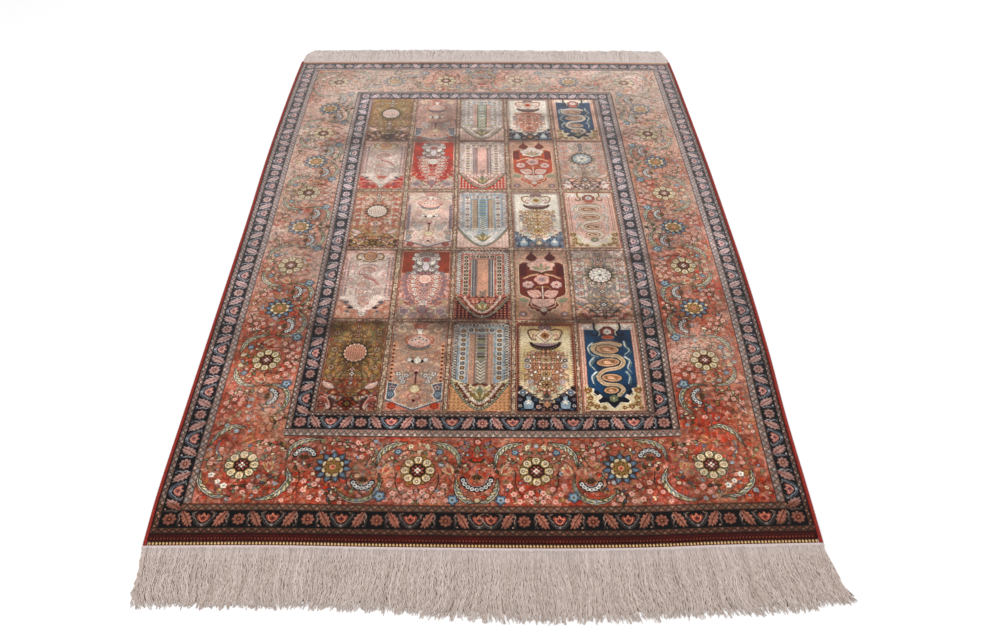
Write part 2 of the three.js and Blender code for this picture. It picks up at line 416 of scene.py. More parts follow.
def guard_leaf(pen):
    """A leaf that slants from the far left to the near right, with teeth on both sides."""
    pen = pen.stretched(0.88, 1.04)
    spine = curve([(-11, 16), (-6, 9), (1, 0), (10, -15)], 5)
    blade = np.array([
        (-14, 17), (-6, 17), (-2, 12), (3, 13), (4, 7), (9, 6), (8, 0), (13, -3), (10, -7), (14, -16),
        (7, -12), (5, -17), (1, -11), (-3, -14), (-3, -7), (-8, -8), (-7, -1), (-12, 0), (-9, 6),
        (-14, 9), (-11, 12),
    ], float) * (1.1, 1.0)
    pen.fill(blade, "blush", "night", 1.2)
    for start, end in (((-8, 12), (-12, 5)), ((-4, 7), (-9, -3)), ((0, 1), (-5, -10)),
                       ((4, -6), (2, -14)), ((-6, 13), (0, 13)), ((-2, 7), (5, 7)), ((2, 0), (9, -1))):
        pen.line([start, end], 1.4, "rose")
    pen.line(spine, 2.6, "russet", 0.5)
    pen.bend([(-16, 8), (-19, -2), (-15, -9), (-19, -16)], 4, 2.2, "slate", 0.6)
    pen.bend([(14, 15), (18, 8), (15, 2)], 4, 2.0, "slate", 0.6)
    pen.bend([(12, 12), (16, 7)], 3, 1.0, "pearl")
    pen.dot(11, 12, 1.8, "blue")
    pen.dot(-12, -13, 1.7, "pearl")


def guard_cup(pen):
    """A flower seen from the side: rust lobes in a pale blue cup, on a green stalk."""
    half = pen.mirrored()
    half.bend([(0, -16), (9, -13), (16, -5), (22, 8)], 5, 3.0, "slate", 0.6)
    half.bend([(1, -12), (8, -9), (13, -2), (19, 6)], 5, 1.9, "sky", 0.8)
    half.bend([(14, 16), (20, 13), (21, 5)], 4, 2.0, "stone", 0.6)
    pen.fill([(-14, 7), (-10, -2), (0, -9), (10, -2), (14, 7), (9, 12), (5, 8), (0, 15), (-5, 8),
              (-9, 12)], "rose", "night", 1.2)
    pen.fill([(-8, 6), (-5, -2), (0, -5), (5, -2), (8, 6), (3, 5), (0, 11), (-3, 5)], "rust", "pearl",
             1.2)
    pen.dot(0, 2, 2.4, "teal")
    pen.dot(0, -13, 2.6, "sky")


def guard_curl(pen):
    """A small grey-green scroll beside the round flower."""
    pen.bend([(20, 14), (16, 8), (20, 0), (17, -8), (22, -15)], 5, 3.0, "slate", 0.7)
    pen.bend([(20, 14), (17, 7), (20, 0), (18, -7)], 4, 1.2, "pearl")


SHORT_REPEAT = 0.57  # the part of a repeat that is left before the middle of an end


def guard_run(pen, length, units, mirror_in_middle):
    """One side of a guard border, from corner flower to corner flower. Where the middle is mirrored,
    two cups meet there instead of a flower."""
    pitch = length / units
    size = min(pitch / 130, 1.0)
    for half in (pen.at(-length / 2), pen.at(length / 2, flip=True)):
        for k in range(int(np.ceil(units / 2))):
            last = mirror_in_middle and k == int(units / 2)
            start = half.at(k * pitch)
            if k:
                guard_flower(start)
            stretch = size * (units / 2 - k) / SHORT_REPEAT if last else size
            guard_curl(start)
            guard_leaf(start.at(33 * stretch))
            guard_cup(start.at(65 * min(stretch, 1.0)))
            if not last:
                guard_leaf(start.at(98 * size, flip=True))
                guard_curl(start.at(130 * size, flip=True))
    if not mirror_in_middle and units % 2 == 0:
        guard_flower(pen)


def guard_border(chart, band, inner, end_units, side_units):
    """Four runs along the middle of a band, and a flower in each corner. Units are how many repeats
    a run has; a broken number means that its middle is mirrored."""
    (west, south), (east, north) = corners(band)
    (inner_west, inner_south), (inner_east, inner_north) = corners(inner)
    frame_band(chart, band, "night")
    xs = ((west + inner_west) / 2, (east + inner_east) / 2)
    ys = ((south + inner_south) / 2, (north + inner_north) / 2)
    middle_x, middle_y = sum(xs) / 2, sum(ys) / 2
    pen = Pen(chart)
    runs = [
        (middle_x, ys[0], 0, xs[1] - xs[0], inner_south - south, end_units),
        (middle_x, ys[1], 180, xs[1] - xs[0], north - inner_north, end_units),
        (xs[0], middle_y, -90, ys[1] - ys[0], inner_west - west, side_units),
        (xs[1], middle_y, 90, ys[1] - ys[0], east - inner_east, side_units),
    ]
    for x, y, turn, length, width, units in runs:
        run = pen.at(x, y, turn)
        guard_run(run.stretched(1, width / 37), length, units, units != int(units))
    for x in xs:
        for y in ys:
            guard_flower(pen.at(x, y), 1.05)


def painted_far_sheen(chart, band, yarn, share):
    """Painted sheen: the light yarns of a band go over to a paler one on the way to the far end, and its
    dark yarns to slate, as the far pile catches the light: the share is that of the way there, times how
    light or dark the yarn is already."""
    low, high = corners(band)
    part, x, y = chart.window(low, high)
    bright = np.clip(4 * (chart.colour[part].mean(axis=-1) - 0.22), 0, 1)
    far = (y[:, None] - low[1]) / (high[1] - low[1])
    grow = share * np.clip(0.2 + 1.7 * far, 0, 1)
    chart.lay(part, grow * bright, yarn)
    chart.lay(part, 0.45 * grow * (1 - bright), "slate")

# %% [markdown]
# The main border carries the large flowers. They are the stock of the trade: a round flower with
# eight cream petals, a palmette ringed in blue, long serrated leaves that curl round them, tulips,
# sprays of blossom, and crescents of little white flowers. Each is drawn once, round its own middle.

# %% Flowers of the main border
def rosette(pen, sepals="gold"):
    """The large round flower: eight petals over eight sepals, round a dark heart."""
    pen.ring(8, 22.5).fill(petal(23, 12, 1.5, 13), sepals, "brown", 1.0)
    ring = pen.ring(8)
    ring.fill([(-4, 17), (-8.5, 25), (-6.5, 32), (0, 34.5), (6.5, 32), (8.5, 25), (4, 17)], "cream",
              "brown", 1.5)
    ring.line([(0, 18), (0, 24)], 1.2, "gold")
    ring.line(arc(3.0, 0, 360, 7, 0, 27), 1.1, "umber")
    ring.dot(0, 27, 1.3, "white")
    pen.fill(scallop(18, 8, 0.16), "brown", "gold", 1.4)
    pen.ring(8, 22.5).fill(petal(7, 4.5, 1.2, 6.5), "rose")
    pen.ring(4).dot(0, 4.2, 2.6, "white")
    pen.dot(0, 0, 1.8, "crimson")


def palmette(pen):
    """The palmette: a dark lobed round, ringed in blue, with a cream flower on it."""
    pen.fill(scallop(32, 11, 0.2, squash=1.05), "umber", "brown", 0.8)
    ring = pen.ring(11)
    ring.fill(petal(18, 12, 0.75, 21), "slate", "brown", 1.3)
    ring.fill(petal(14, 8, 0.75, 22), "blue")
    ring.line([(0, 25), (0, 32)], 1.6, "sky")
    pen.fill(scallop(23, 8, 0.2, squash=1.1), "cream", "brown", 1.6)
    pen.ring(8, 22.5).fill(petal(19, 6, 1.2), "rust")
    pen.ring(8).fill(petal(20, 9, 1.3), "gold", "brown", 1.1)
    pen.ring(8).line([(0, 6), (0, 15)], 1.2, "olive")
    pen.fill(scallop(8, 6, 0.2), "peach", "brown", 1.0)
    pen.dot(0, 0, 3.0, "ember")


def feather(pen, points, width):
    """A long serrated leaf on a curved spine. Its half width is a sine of the way along, cut into
    teeth on the outer side; slanting barbs and a rib are drawn over it."""
    spine = curve(points, 7)
    step = np.gradient(spine, axis=0)
    unit = step / np.linalg.norm(step, axis=1)[:, None]
    normal = np.stack([unit[:, 1], -unit[:, 0]], axis=1)
    t = np.linspace(0, 1, len(spine))
    half = 0.86 * width * np.sin(np.pi * np.clip(t, 0.02, 0.985) ** 0.8) ** 0.8
    teeth = max(6, len(spine) // 3)
    saw = 1 - 0.42 * np.mod(t * teeth, 1)
    outer = spine + normal * (half * saw)[:, None]
    inner = spine - normal * (half * 0.46 * (1 - 0.3 * np.mod(t * teeth + 0.4, 1)))[:, None]
    pen.fill(np.concatenate([outer, inner[::-1]]), "cream", "brown", 1.5)
    for k in np.linspace(0.08, 0.9, int(teeth * 1.7)):
        i = int(k * (len(spine) - 1))
        j = min(i + 2, len(spine) - 1)
        shade = ("moss", "sage", "blue")[int(k * 60) % 3]
        pen.line([spine[i], spine[j] + normal[j] * half[j] * 0.74], 2.0, shade, 0.5)
        pen.line([spine[i], spine[j] - normal[j] * half[j] * 0.3], 1.3, "sky", 0.6)
    pen.line(spine, 1.5, "brown", 0.5)


def tulip(pen, skin, edge):
    """A tulip seen from the side: two outer petals, a middle one and a stalk."""
    side = pen.mirrored()
    side.fill(petal(25, 9, 0.9) @ np.array([[0.94, -0.34], [0.34, 0.94]]), skin, edge, 1.2)
    pen.fill(petal(22, 8, 0.9), "rose", edge, 1.2)
    side.bend([(2, 4), (5, 12), (8, 24)], 4, 1.0, "rust")
    pen.line([(0, -12), (0, 2)], 1.4, "moss")


def blossom(pen, size=1.0, skin="pink", eye="crimson"):
    """A little flower of five round petals."""
    p = pen.at(size=size)
    p.dot(0, 0, 5.6, "umber")
    p.ring(5).dot(0, 3.3, 2.6, skin)
    p.dot(0, 0, 1.4, eye)


def cluster(pen, size=1.0):
    """A pale blue flower of five broad lobes."""
    p = pen.at(size=size)
    p.fill(scallop(11, 5, 0.28), "blue", "brown", 1.0)
    p.fill(scallop(7.5, 5, 0.28), "sky")
    p.ring(5).dot(0, 7.5, 1.2, "navy")
    p.dot(0, 0, 2.4, "moss")


def crescent(pen, radius=20, beads=7, spread=150):
    """A dark crescent, open upwards, set with small white flowers, and the fan that stands in it."""
    first = 270 - spread / 2
    pen.line(arc(radius, first, first + spread, 14), 12.5, "navy")
    for angle in np.linspace(first + 6, first + spread - 6, beads):
        a = np.radians(angle)
        spot = pen.at(radius * np.cos(a), radius * np.sin(a))
        spot.dot(0, 0, 4.4, "white")
        spot.dot(0, 0, 2.3, "blue")
        spot.dot(0, 0, 0.9, "brown")
    pen.line(arc(radius - 7.2, first, first + spread, 12), 1.2, "sky")
    for lean in (-44, -22, 0, 22, 44):
        pen.at(0, 9, 180 + lean).fill(petal(17, 5.5, 1.3), "brown" if lean % 44 else "umber", "gold", 0.5)
    pen.line([(0, 8), (0, 22)], 1.8, "blue", 0.5)


def stem(pen, points, yarn="brown", width=2.0):
    """A thin stalk that narrows towards its end."""
    pen.bend(points, 6, width, yarn, 0.7)


def vine(pen, points, leaves=("sage", "cream", "slate"), buds=("pink", "salmon", "blue"), spacing=10.0):
    """A stem with leaves on alternate sides and a bud after every third."""
    path = curve(points, 7)
    pen.line(path, 1.9, "brown", 0.6)
    for k, place in enumerate(stations(pen, path, spacing)):
        spot = place.at(turn=-35 if k % 2 else -145)
        if k % 3 == 2:
            spot.dot(0, 7, 4.2, "brown")
            spot.at(0, 7).ring(5).dot(0, 2.4, 1.8, buds[k // 3 % len(buds)])
        else:
            spot.fill(petal(10.5, 5.0, 0.9), leaves[k % len(leaves)], "brown", 1.1)


# %% [markdown]
# Between the large flowers the ground is full. Small curls, leaves and buds are scattered first on a
# jittered grid, the same on every run, and the large flowers are laid over them.

# %% Small growth that fills the ground
def soft_noise(x, y, span, seed):
    """Clouds from 0 to 1: random values on a square grid, eased from one to the next."""
    table = np.random.default_rng(seed).random((64, 64))
    gx, gy = np.meshgrid(x / span, y / span)
    i, j = np.floor(gx).astype(int), np.floor(gy).astype(int)
    u, v = gx - i, gy - j
    u, v = u * u * (3 - 2 * u), v * v * (3 - 2 * v)
    row = [(1 - u) * table[(j + k) % 64, i % 64] + u * table[(j + k) % 64, (i + 1) % 64] for k in (0, 1)]
    return (1 - v) * row[0] + v * row[1]


def painted_sheen_clouds(chart, band, yarn, share, start, seed):
    """Painted sheen: clouds of a paler shade over a ground, where the pile catches the light. Its share
    grows towards the far end, from a start that is measured from the near end as a part of the length."""
    low, high = corners(band)
    part, x, y = chart.window(low, high)
    clouds = 0.6 * soft_noise(x, y, 150.0, seed) + 0.4 * soft_noise(x, y, 46.0, seed + 1)
    far = (y[:, None] - low[1]) / (high[1] - low[1]) - start
    chart.lay(part, share * np.clip(1.2 * far + 2.4 * (clouds - 0.5), 0.0, 1.0), yarn)


def undergrowth(pen, west, south, east, north, yarns, seed, pitch=17.5):
    """Small growth over a rectangle: on each place of the grid a curl and one of five plants."""
    draw = np.random.default_rng(seed)
    columns = max(1, int((east - west) / pitch))
    rows = max(1, int((north - south) / pitch))
    for i in range(columns * rows):
        x = west + (east - west) * (i % columns + 0.2 + 0.6 * draw.random()) / columns
        y = south + (north - south) * (i // columns + 0.2 + 0.6 * draw.random()) / rows
        spot = pen.at(x, y, 360 * draw.random(), 0.8 + 0.35 * draw.random(), draw.random() < 0.5)
        shade = yarns[draw.integers(len(yarns))]
        other = yarns[draw.integers(len(yarns))]
        kind = draw.integers(5)
        spot.line(arc(7.5, 10, 230, 7), 1.5, ("brown", "moss", "brown", "slate")[i % 4], 0.6)
        if kind == 0:
            spot.ring(5).dot(0, 3.2, 2.1, shade)
            spot.dot(0, 0, 1.5, other)
        elif kind == 1:
            spot.fill(petal(11, 4.6, 0.8), shade, "umber", 0.7)
            spot.at(turn=60).fill(petal(8, 4, 0.8), other, "umber", 0.6)
        elif kind == 2:
            spot.at(7, 0).ring(3).fill(petal(6, 4, 0.9), shade)
        elif kind == 3:
            spot.line(arc(4, 0, 250, 7, 4, 4), 1.6, shade, 0.5)
            spot.dot(4, 4, 1.5, other)
        else:
            spot.dot(5, 4, 2.4, shade)
            spot.dot(-4, 6, 1.9, other)


# %% [markdown]
# The round flower, the palmette and what grows between them make one group, which is read along the
# border. On the ends its arch of leaves faces the field, and on the sides it faces the edge.

# %% Groups of the main border
GROUP_STEP = 171.0  # from the round flower to the palmette, as drawn


def rosette_group(pen):
    """The round flower under its arch of two leaves, with tulips beside it and blossom below."""
    pen = pen.mirrored()
    feather(pen, [(26, 70), (60, 62), (80, 40), (86, 6)], 11)
    vine(pen, [(38, 20), (52, 26), (64, 18), (62, 2), (50, -8)])
    vine(pen, [(4, 44), (18, 50), (34, 46), (40, 34)])
    vine(pen, [(2, -44), (14, -52), (10, -66), (0, -72)], ("moss", "sage"))
    stem(pen, [(42, -6), (43, -30), (34, -52), (18, -68)], "brown", 2.2)
    stem(pen, [(43, -30), (56, -44), (60, -62)], "umber")
    for x, y, size in [(55, -36, 1.1), (31, -43, 1.0), (47, -55, 1.1), (12, -52, 1.15), (35, -72, 1.1),
                       (11, -72, 1.0), (60, -70, 0.9), (22, -60, 0.9)]:
        blossom(pen.at(x, y, 3 * x), size)
    cluster(pen.at(43, 46), 0.72)
    blossom(pen.at(17, 60), 1.0, "cream", "blue")
    tulip(pen.at(70, -8, 38), "peach", "cream")
    rosette(pen)


def side_group(pen):
    """What grows between the round flower and the palmette: a crescent in a curled leaf."""
    feather(pen, [(160, -52), (136, -71), (106, -74), (82, -58), (74, -32), (78, -8)], 10)
    cluster(pen.at(72, -62, 20), 1.15)
    vine(pen, [(84, 12), (96, 26), (92, 46), (104, 62), (126, 60)])
    vine(pen, [(132, -8), (142, -26), (134, -44), (118, -50)], ("sage", "slate"))
    vine(pen, [(166, -46), (178, -60), (166, -74), (150, -70)], ("cream", "moss"))
    stem(pen, [(108, 10), (100, 34), (112, 58)], "brown")
    crescent(pen.at(109, -24))
    for x, y, size in [(150, 70, 1.0), (128, 68, 1.1), (118, 50, 1.0), (137, 58, 0.9), (117, 32, 1.0),
                       (98, 62, 0.9), (104, 44, 0.9), (131, 36, 0.8), (150, -78, 0.8)]:
        blossom(pen.at(x, y, 5 * y), size)
    stem(pen, [(150, 70), (128, 58), (122, 44), (106, 44)], "brown")


def end_half(pen):
    """From the middle of an end to its corner, read outwards; x is the distance from the middle and
    y the distance in from the border's outer edge."""
    first_group = pen.at(120.8, 82)
    rosette_group(first_group)
    side_group(first_group)
    palmette(pen.at(294, 88))
    vine(pen, [(262, 136), (278, 150), (300, 152), (318, 140)], ("cream", "sage"))
    vine(pen, [(336, 96), (352, 92), (366, 100), (372, 90)], ("moss", "cream"))
    vine(pen, [(276, 40), (290, 32), (296, 18), (280, 8)], ("sage", "slate"))
    vine(pen, [(396, 132), (412, 142), (432, 140), (440, 124)], ("cream", "moss"))
    vine(pen, [(398, 66), (412, 62), (428, 46), (446, 38)], ("sage", "slate"))
    feather(pen, [(328, 160), (364, 154), (386, 136), (392, 104)], 10)
    crescent(pen.at(356, 112, 180))
    stem(pen, [(362, 78), (358, 56), (364, 26)], "brown", 2.0)
    stem(pen, [(362, 60), (340, 44), (318, 34)], "umber")
    for x, y, size in [(348, 53, 1.1), (326, 46, 1.1), (309, 27, 1.1), (331, 15, 1.1), (370, 55, 1.0),
                       (346, 32, 1.1), (313, 10, 1.0), (372, 30, 0.9), (286, 14, 0.9), (386, 8, 0.9)]:
        blossom(pen.at(x, y, 7 * x), size)
    feather(pen, [(388, 84), (380, 58), (392, 32), (416, 14), (444, 10)], 12)
    corner_group(pen)


def corner_group(pen):
    """The round flower of a corner, with leaves that lead round it."""
    corner = pen.at(480, 92)
    vine(corner, [(-44, 14), (-54, 30), (-46, 52), (-26, 62), (-6, 54)])
    vine(corner, [(42, 20), (58, 26), (70, 16), (72, 0)])
    vine(corner, [(-30, -46), (-14, -54), (0, -50), (8, -62)], ("sage", "moss"))
    rosette(corner, "sage")
    feather(corner, [(80, -14), (76, -46), (44, -74), (8, -76)], 9)
    feather(corner, [(12, 96), (40, 100), (66, 78), (80, 44)], 9)
    tulip(corner.at(-60, -14, -20), "gold", "cream")
    tulip(corner.at(8, 58, 60), "peach", "gold")
    stem(corner, [(52, -6), (60, -30), (40, -50), (22, -62)], "slate")
    for x, y, size in [(56, -24, 1.2), (26, -50, 1.2), (40, -40, 1.0)]:
        blossom(corner.at(x, y), size, "white", "blue")
    for x, y, size in [(-26, -52, 1.2), (-40, -64, 1.0), (-14, -66, 1.0), (64, 4, 0.9), (50, 40, 0.9),
                       (-48, 40, 1.0), (-38, 60, 0.9)]:
        blossom(corner.at(x, y, 9 * x), size)
    stem(corner, [(56, 60), (60, 40), (50, 22)], "blue", 2.4)


def end_middle(pen):
    """The middle of an end: a wide crescent with its fan, between two curled leaves."""
    both = pen.mirrored()
    vine(both, [(10, 142), (26, 148), (40, 138), (44, 122)], ("sage", "slate"), ("mauve", "pink"))
    vine(both, [(16, 96), (30, 100), (40, 90), (36, 78)], ("cream", "moss"))
    feather(both, [(43, 62), (40, 32), (22, 10), (0, 5)], 10)
    cluster(both.at(48, 13, 10), 1.1)
    crescent(pen.at(0, 66), 29, 9, 165)
    both.fill(petal(17, 11, 0.8) @ np.array([[0.2, -0.98], [0.98, 0.2]]) + (0, 106), "moss", "brown", 0.8)
    both.fill(petal(13, 8, 0.8) @ np.array([[0.5, 0.86], [-0.86, 0.5]]) + (0, 106), "ember", "brown", 0.8)
    pen.at(0, 124).fill(petal(22, 11, 0.8), "sage", "brown", 1.0)
    pen.at(0, 126).fill(petal(12, 5, 0.8), "rose")
    for x, y in [(24, 134), (34, 120), (20, 150)]:
        blossom(both.at(x, y), 0.9, "mauve", "wine")


def main_side(pen, places, size):
    """One long side; places are the distances of the round flowers and palmettes along it."""
    places = [places[0] - GROUP_STEP, *places, places[-1] + 0.95 * GROUP_STEP]
    for k, (here, there) in enumerate(zip(places[:-1], places[1:])):
        step = (there - here) / GROUP_STEP
        group = pen.at(here, size=size) if k % 2 else pen.at(there, flip=True, size=size)
        side_group(group.stretched(step / size, 1))
    for k, here in enumerate(places[1:-1]):
        spot = pen.at(here, size=size)
        if k % 2 == 0:
            rosette_group(spot)
        else:
            palmette(spot)

# %% [markdown]
# The field is a garden of twenty-five small prayer panels, five by five, each with its point at the
# near end. Eight old designs take turns: a round medallion, a vase, a niche with columns, a
# flowering tree over a boat-shaped bowl, a winding ribbon, a swirl, a spray on a bright ground and a
# lobed shield. The weaver changed the colours from row to row, so a design is drawn from the names
# of its yarns. A panel is drawn 128 wide and 260 long round its own middle and sized to its place.

# %% Helpers for the panels
def fleck(pen, yarns, pitch, share, seed=0, squash=1.4):
    """Scatters small lozenges over the pen's clip. A number made from the row and the column of a
    lozenge, a sine times a large factor, picks its yarn or leaves it out."""
    part, x, y = pen.all()
    gx, gy = np.meshgrid(x / pitch, y / (pitch * squash))
    gx = gx + 0.5 * (np.floor(gy) % 2)
    i, j = np.floor(gx), np.floor(gy)
    pick = np.mod(np.abs(np.sin(i * 12.9898 + j * 78.233 + seed * 3.7)) * 43758.5453, 1)
    away = np.abs(gx - i - 0.5) + np.abs(gy - j - 0.5)
    shape = np.clip((0.46 - away) * pitch / pen.chart.step + 0.5, 0, 1)
    for k, yarn in enumerate(yarns):
        chosen = (pick >= share * k / len(yarns)) & (pick < share * (k + 1) / len(yarns))
        pen.chart.lay(part, shape * chosen, yarn)


def filling(pen, dark, yarns, seed, span, share=0.75):
    """Fine growth, the same to the left and right of the panel's middle. The places where a soft
    noise passes a half make thin curling stems, and the tops of others make leaves and buds."""
    part, x, y = pen.all()
    x = np.abs(x - pen.places[0][1][0])
    for k, yarn in enumerate(yarns):
        high = soft_noise(x, y, span * 0.7, seed + 7 * k + 1)
        pen.chart.lay(part, share * np.clip(9 * (high - 0.64), 0, 1), yarn)
    level = np.abs(soft_noise(x, y, span, seed) - 0.5)
    pen.chart.lay(part, share * np.clip(1.5 - level * span, 0, 1), dark)


def wash(pen, yarn, strength, seed, span=34.0, middle=0.5):
    """Clouds of another yarn through a panel's ground."""
    part, x, y = pen.all()
    cover = np.clip(strength * 2.2 * (soft_noise(x, y, span, seed) - middle + 0.08), 0, strength)
    pen.chart.lay(part, cover, yarn)


def arch(height, power=1.0, steps=0, inset=3.0, rise=0.0):
    """The left half of the line over the point: its height falls as a power of the way inwards."""
    a = np.linspace(0, 1, (steps or 10) + 1)
    x = (64 - inset) * (a - 1)
    y = -130 + inset + rise + height * (1 - a) ** power
    if steps:
        x, y = np.repeat(x, 2)[1:], np.repeat(y, 2)[:-1]
    return np.stack([x, y], axis=1)


def lower_corners(pen, yarn, edge, line, inset=3.0, width=2.2):
    """Fills both lower corners under an arch and draws the arch's line."""
    both = pen.mirrored()
    both.fill(np.concatenate([edge, [(0, -130 + inset), (inset - 64, -130 + inset)]]), yarn)
    both.line(edge, width, line)


def ground(pen, *rims):
    """Fills a panel with one frame inside another: each is how far in it starts, and its yarn."""
    for k in range(0, len(rims), 2):
        inset = rims[k]
        pen.fill(box(inset - 64, inset - 130, 64 - inset, 130 - inset), rims[k + 1])


def below(pen, high):
    """The same pen, kept to the lowest part of its panel."""
    west, south, east, north = pen.clip
    return pen.within(west, south, east, south + high)


def roundel(pen, radius, yarn, rim="umber", eye="wine", count=6):
    """A small flower seen from above: a lobed disc, a ring of marks and an eye."""
    pen.fill(scallop(radius, count, 0.2), yarn, rim, 1.3)
    pen.ring(count).line([(0, radius * 0.35), (0, radius * 0.75)], 1.1, rim)
    pen.dot(0, 0, radius * 0.25, eye)


def scroll(pen, yarn, width, size):
    """A spiral: the radius falls evenly with the angle."""
    a = np.radians(np.linspace(0, 560, 22))
    r = size * np.linspace(11, 1.5, 22)
    pen.line(np.stack([r * np.cos(a), r * np.sin(a)], axis=1), width, yarn, 0.7)

# %% [markdown]
# The medallion is a lobed disc in a ring of petals, over a chain of small flowers that ends in a
# lozenge. Its spoked form has petals in the disc instead of stripes. Lines that fan out are drawn
# with a ring of pens, and what is the same on both sides with a mirrored one.

# %% The round medallion
def medallion(pen, base, side, low, disc, rim, corner, dot, vein, spokes):
    """Yarns of the ground, its sides and its lower part, the disc and its rim, the corners, the side
    flowers and the veins. Spokes chooses between the two kinds of disc."""
    both = pen.mirrored()
    ground(pen, 0, "umber", 1.4, side, 6, side)
    pen.fill(box(-36, -100, 36, 126), base)
    wash(pen, side, 0.7, 12, 22)
    wash(below(pen, 90), low, 0.9, 11, 24, 0.34)
    filling(pen, vein, (dot, disc, low, "sage"), 21, 8.0, 0.6)
    for y, size in [(94, 1.0), (43, 1.0), (-10, 1.0), (70, 0.7), (16, 0.7), (-36, 0.8)]:
        roundel(both.at(49, y, size=size), 8, dot, rim, "wine")
    middle = pen.at(0, 34)
    middle.ring(16).fill(petal(40, 6, 1.0), "moss", vein, 0.8)
    middle.ring(16, 11).line([(0, 30), (3, 35), (0, 41)], 1.5, rim)
    middle.fill(scallop(27, 16, 0.1, squash=1.06), disc, "brown", 2.4)
    middle.ring(16, 11).dot(0, 25, 1.6, "white")
    if spokes:
        middle.ring(8).fill(petal(21, 9, 1.1, 2), "white", "slate", 1.3)
        middle.dot(0, 0, 4, "slate")
    for x in () if spokes else np.arange(-20, 21, 5.0):
        reach = 0.8 * np.sqrt(25 ** 2 - x * x)
        middle.line([(x, -reach), (x, reach)], 1.3, "rose")
    both.bend([(6, 66), (14, 76), (10, 92), (22, 104)], 4, 1.8, vein)
    for y in (116, 101, 86):
        roundel(pen.at(0, y), 5.5, disc, "brown", rim, 4)
    for k, y in enumerate((-16, -29, -42, -55, -68)):
        roundel(pen.at(0, y, 45), 6.2 - 0.6 * k, "white" if k % 2 else "pink", "brown", "wine", 4)
    both.bend([(6, -12), (20, -22), (24, -44), (14, -62), (30, -76)], 4, 2.0, vein)
    both.at(34, -82).fill(oval(26, 22, count=4), low, "brown", 1.5)
    both.at(34, -82).fill(oval(11, 10, count=4), dot)
    both.fill(petal(34, 15, 0.8) @ np.array([[0.5, -0.86], [0.86, 0.5]]) + (34, -70), "pink", "slate",
              1.6)
    both.bend([(36, -68), (48, -60), (60, -50)], 4, 2.0, "white")
    lower_corners(pen, corner, arch(52, 0.9), "slate")
    filling(below(pen, 44), "brown", ("mauve", "rose", "white"), 22, 8.0)
    both.bend([(60, -92), (44, -100), (36, -122)], 4, 2.8, "pink")
    star = pen.at(0, -78 if spokes else -112)
    star.fill(oval(44, 34, count=4), low, "brown", 1.6)
    star.ring(8).fill(petal(15, 6), "slate" if spokes else "brown")
    star.fill(oval(13, 13, count=4), "white" if spokes else "gold", "brown", 1.0)
    star.dot(0, 0, 2.0, "brown")

# %% [markdown]
# The vase stands over the point: a bowl of round flowers on a stalk that ends in a bunch, between
# two beaded strips. Its outline is a short list of corners, since a knotted edge has no curve.

# %% The vase
def vase(pen, base, shade, strip, bead, body, scrolls, corner, mark):
    """Yarns of the ground and its shade, the strips and their beads, the bowl, the scrolls, the corners
    and the small marks."""
    both = pen.mirrored()
    ground(pen, 0, "umber", 1.4, "slate", 3.4, base)
    wash(pen, shade, 0.5, 13, 30)
    wash(pen, "russet", 0.3, 14, 18, 0.6)
    filling(pen, shade, ("stone", "cream", "pink"), 23, 9.0, 0.55)
    both.fill(box(53, -52, 61, 66), strip)
    for y in np.arange(-48, 66, 11.5):
        both.dot(57, y, 2.9, bead)
    both.bend([(14, 126), (26, 122), (38, 124), (52, 112), (46, 100), (34, 104), (40, 112)], 4, 2.6,
              "cream")
    both.bend([(18, 110), (28, 100), (44, 90)], 4, 2.0, "stone")
    for k, y in enumerate((124, 118, 112)):
        for x in np.arange(-18 + 3 * k, 19 - 3 * k, 6.0):
            pen.line([(x - 2, y - 2), (x, y + 2), (x + 2, y - 2)], 1.6, mark)
    pen.fill([(-8, 108), (-3, 97), (-9, 86), (9, 86), (3, 97), (8, 108)], "white", "stone", 1.2)
    bowl = pen.at(0, 70)
    bowl.fill([(-30, -4), (-22, 8), (-9, 20), (9, 20), (22, 8), (30, -4), (18, -15), (-18, -15)], body,
              "rose", 1.8)
    for x, y, size in [(-17, 3, 4), (0, 12, 4.5), (17, 3, 4), (-9, 5, 4), (9, 5, 4), (0, -3, 5),
                       (-10, -8, 4), (10, -8, 4)]:
        bowl.dot(x, y, size, "white")
        bowl.dot(x, y, size * 0.5, "night" if y > 0 else "rust")
    bowl.mirrored().bend([(27, -4), (34, 4), (27, 13)], 4, 2.2, mark)
    pen.line(arc(26, 205, 335, 12, 0, 66, 0.7), 5.0, "slate")
    pen.line(arc(29, 215, 325, 12, 0, 63, 0.7), 2.0, "moss")
    pen.at(0, 2).fill(petal(22, 17, 0.8), "white", "stone", 1.2)
    both.at(7, 4, -38).fill(petal(16, 6), "night")
    both.at(19, 14).fill(scallop(6, 5, 0.3), "white", "slate", 1.3)
    pen.fill(petal(15, 13, 1.0, -26), "pink", "rose", 1.6)
    pen.dot(0, -24, 4.2, "wine")
    pen.line([(0, -24), (0, -60)], 2.6, "wine")
    for x, y in [(32, -40), (22, -32), (40, -28), (28, -50)]:
        roundel(both.at(x, y), 6, "white", "slate", "rose", 5)
    pen.fill(scallop(11, 8, 0.12) + (0, -70), "cream", "gold", 1.4)
    both.bend([(4, -80), (14, -88), (10, -98), (20, -106)], 4, 1.8, "rose")
    pen.dot(0, -102, 3.6, "wine")
    both.fill([(38, -58), (61, -52), (61, -100), (50, -98), (42, -88), (46, -76)], scrolls, "white", 1.8)
    both.at(51, -66).ring(5).dot(0, 5, 2.0, "pink")
    scroll(both.at(53, -86), "sky", 2.0, 0.7)
    lower_corners(pen, corner, arch(26, 1.0), "slate", width=6.5)
    both.line(arch(26, 1.0) + (0, 2), 1.8, "white")
    both.at(47, -116).fill(scallop(9, 6, 0.25), mark, "wine", 1.2)

# %% [markdown]
# This is the prayer niche itself: an arch on two pairs of columns, in a frame of linked hooks. The
# hooks, beads and scales are laid at even steps along a path, so the frame turns its own corners.

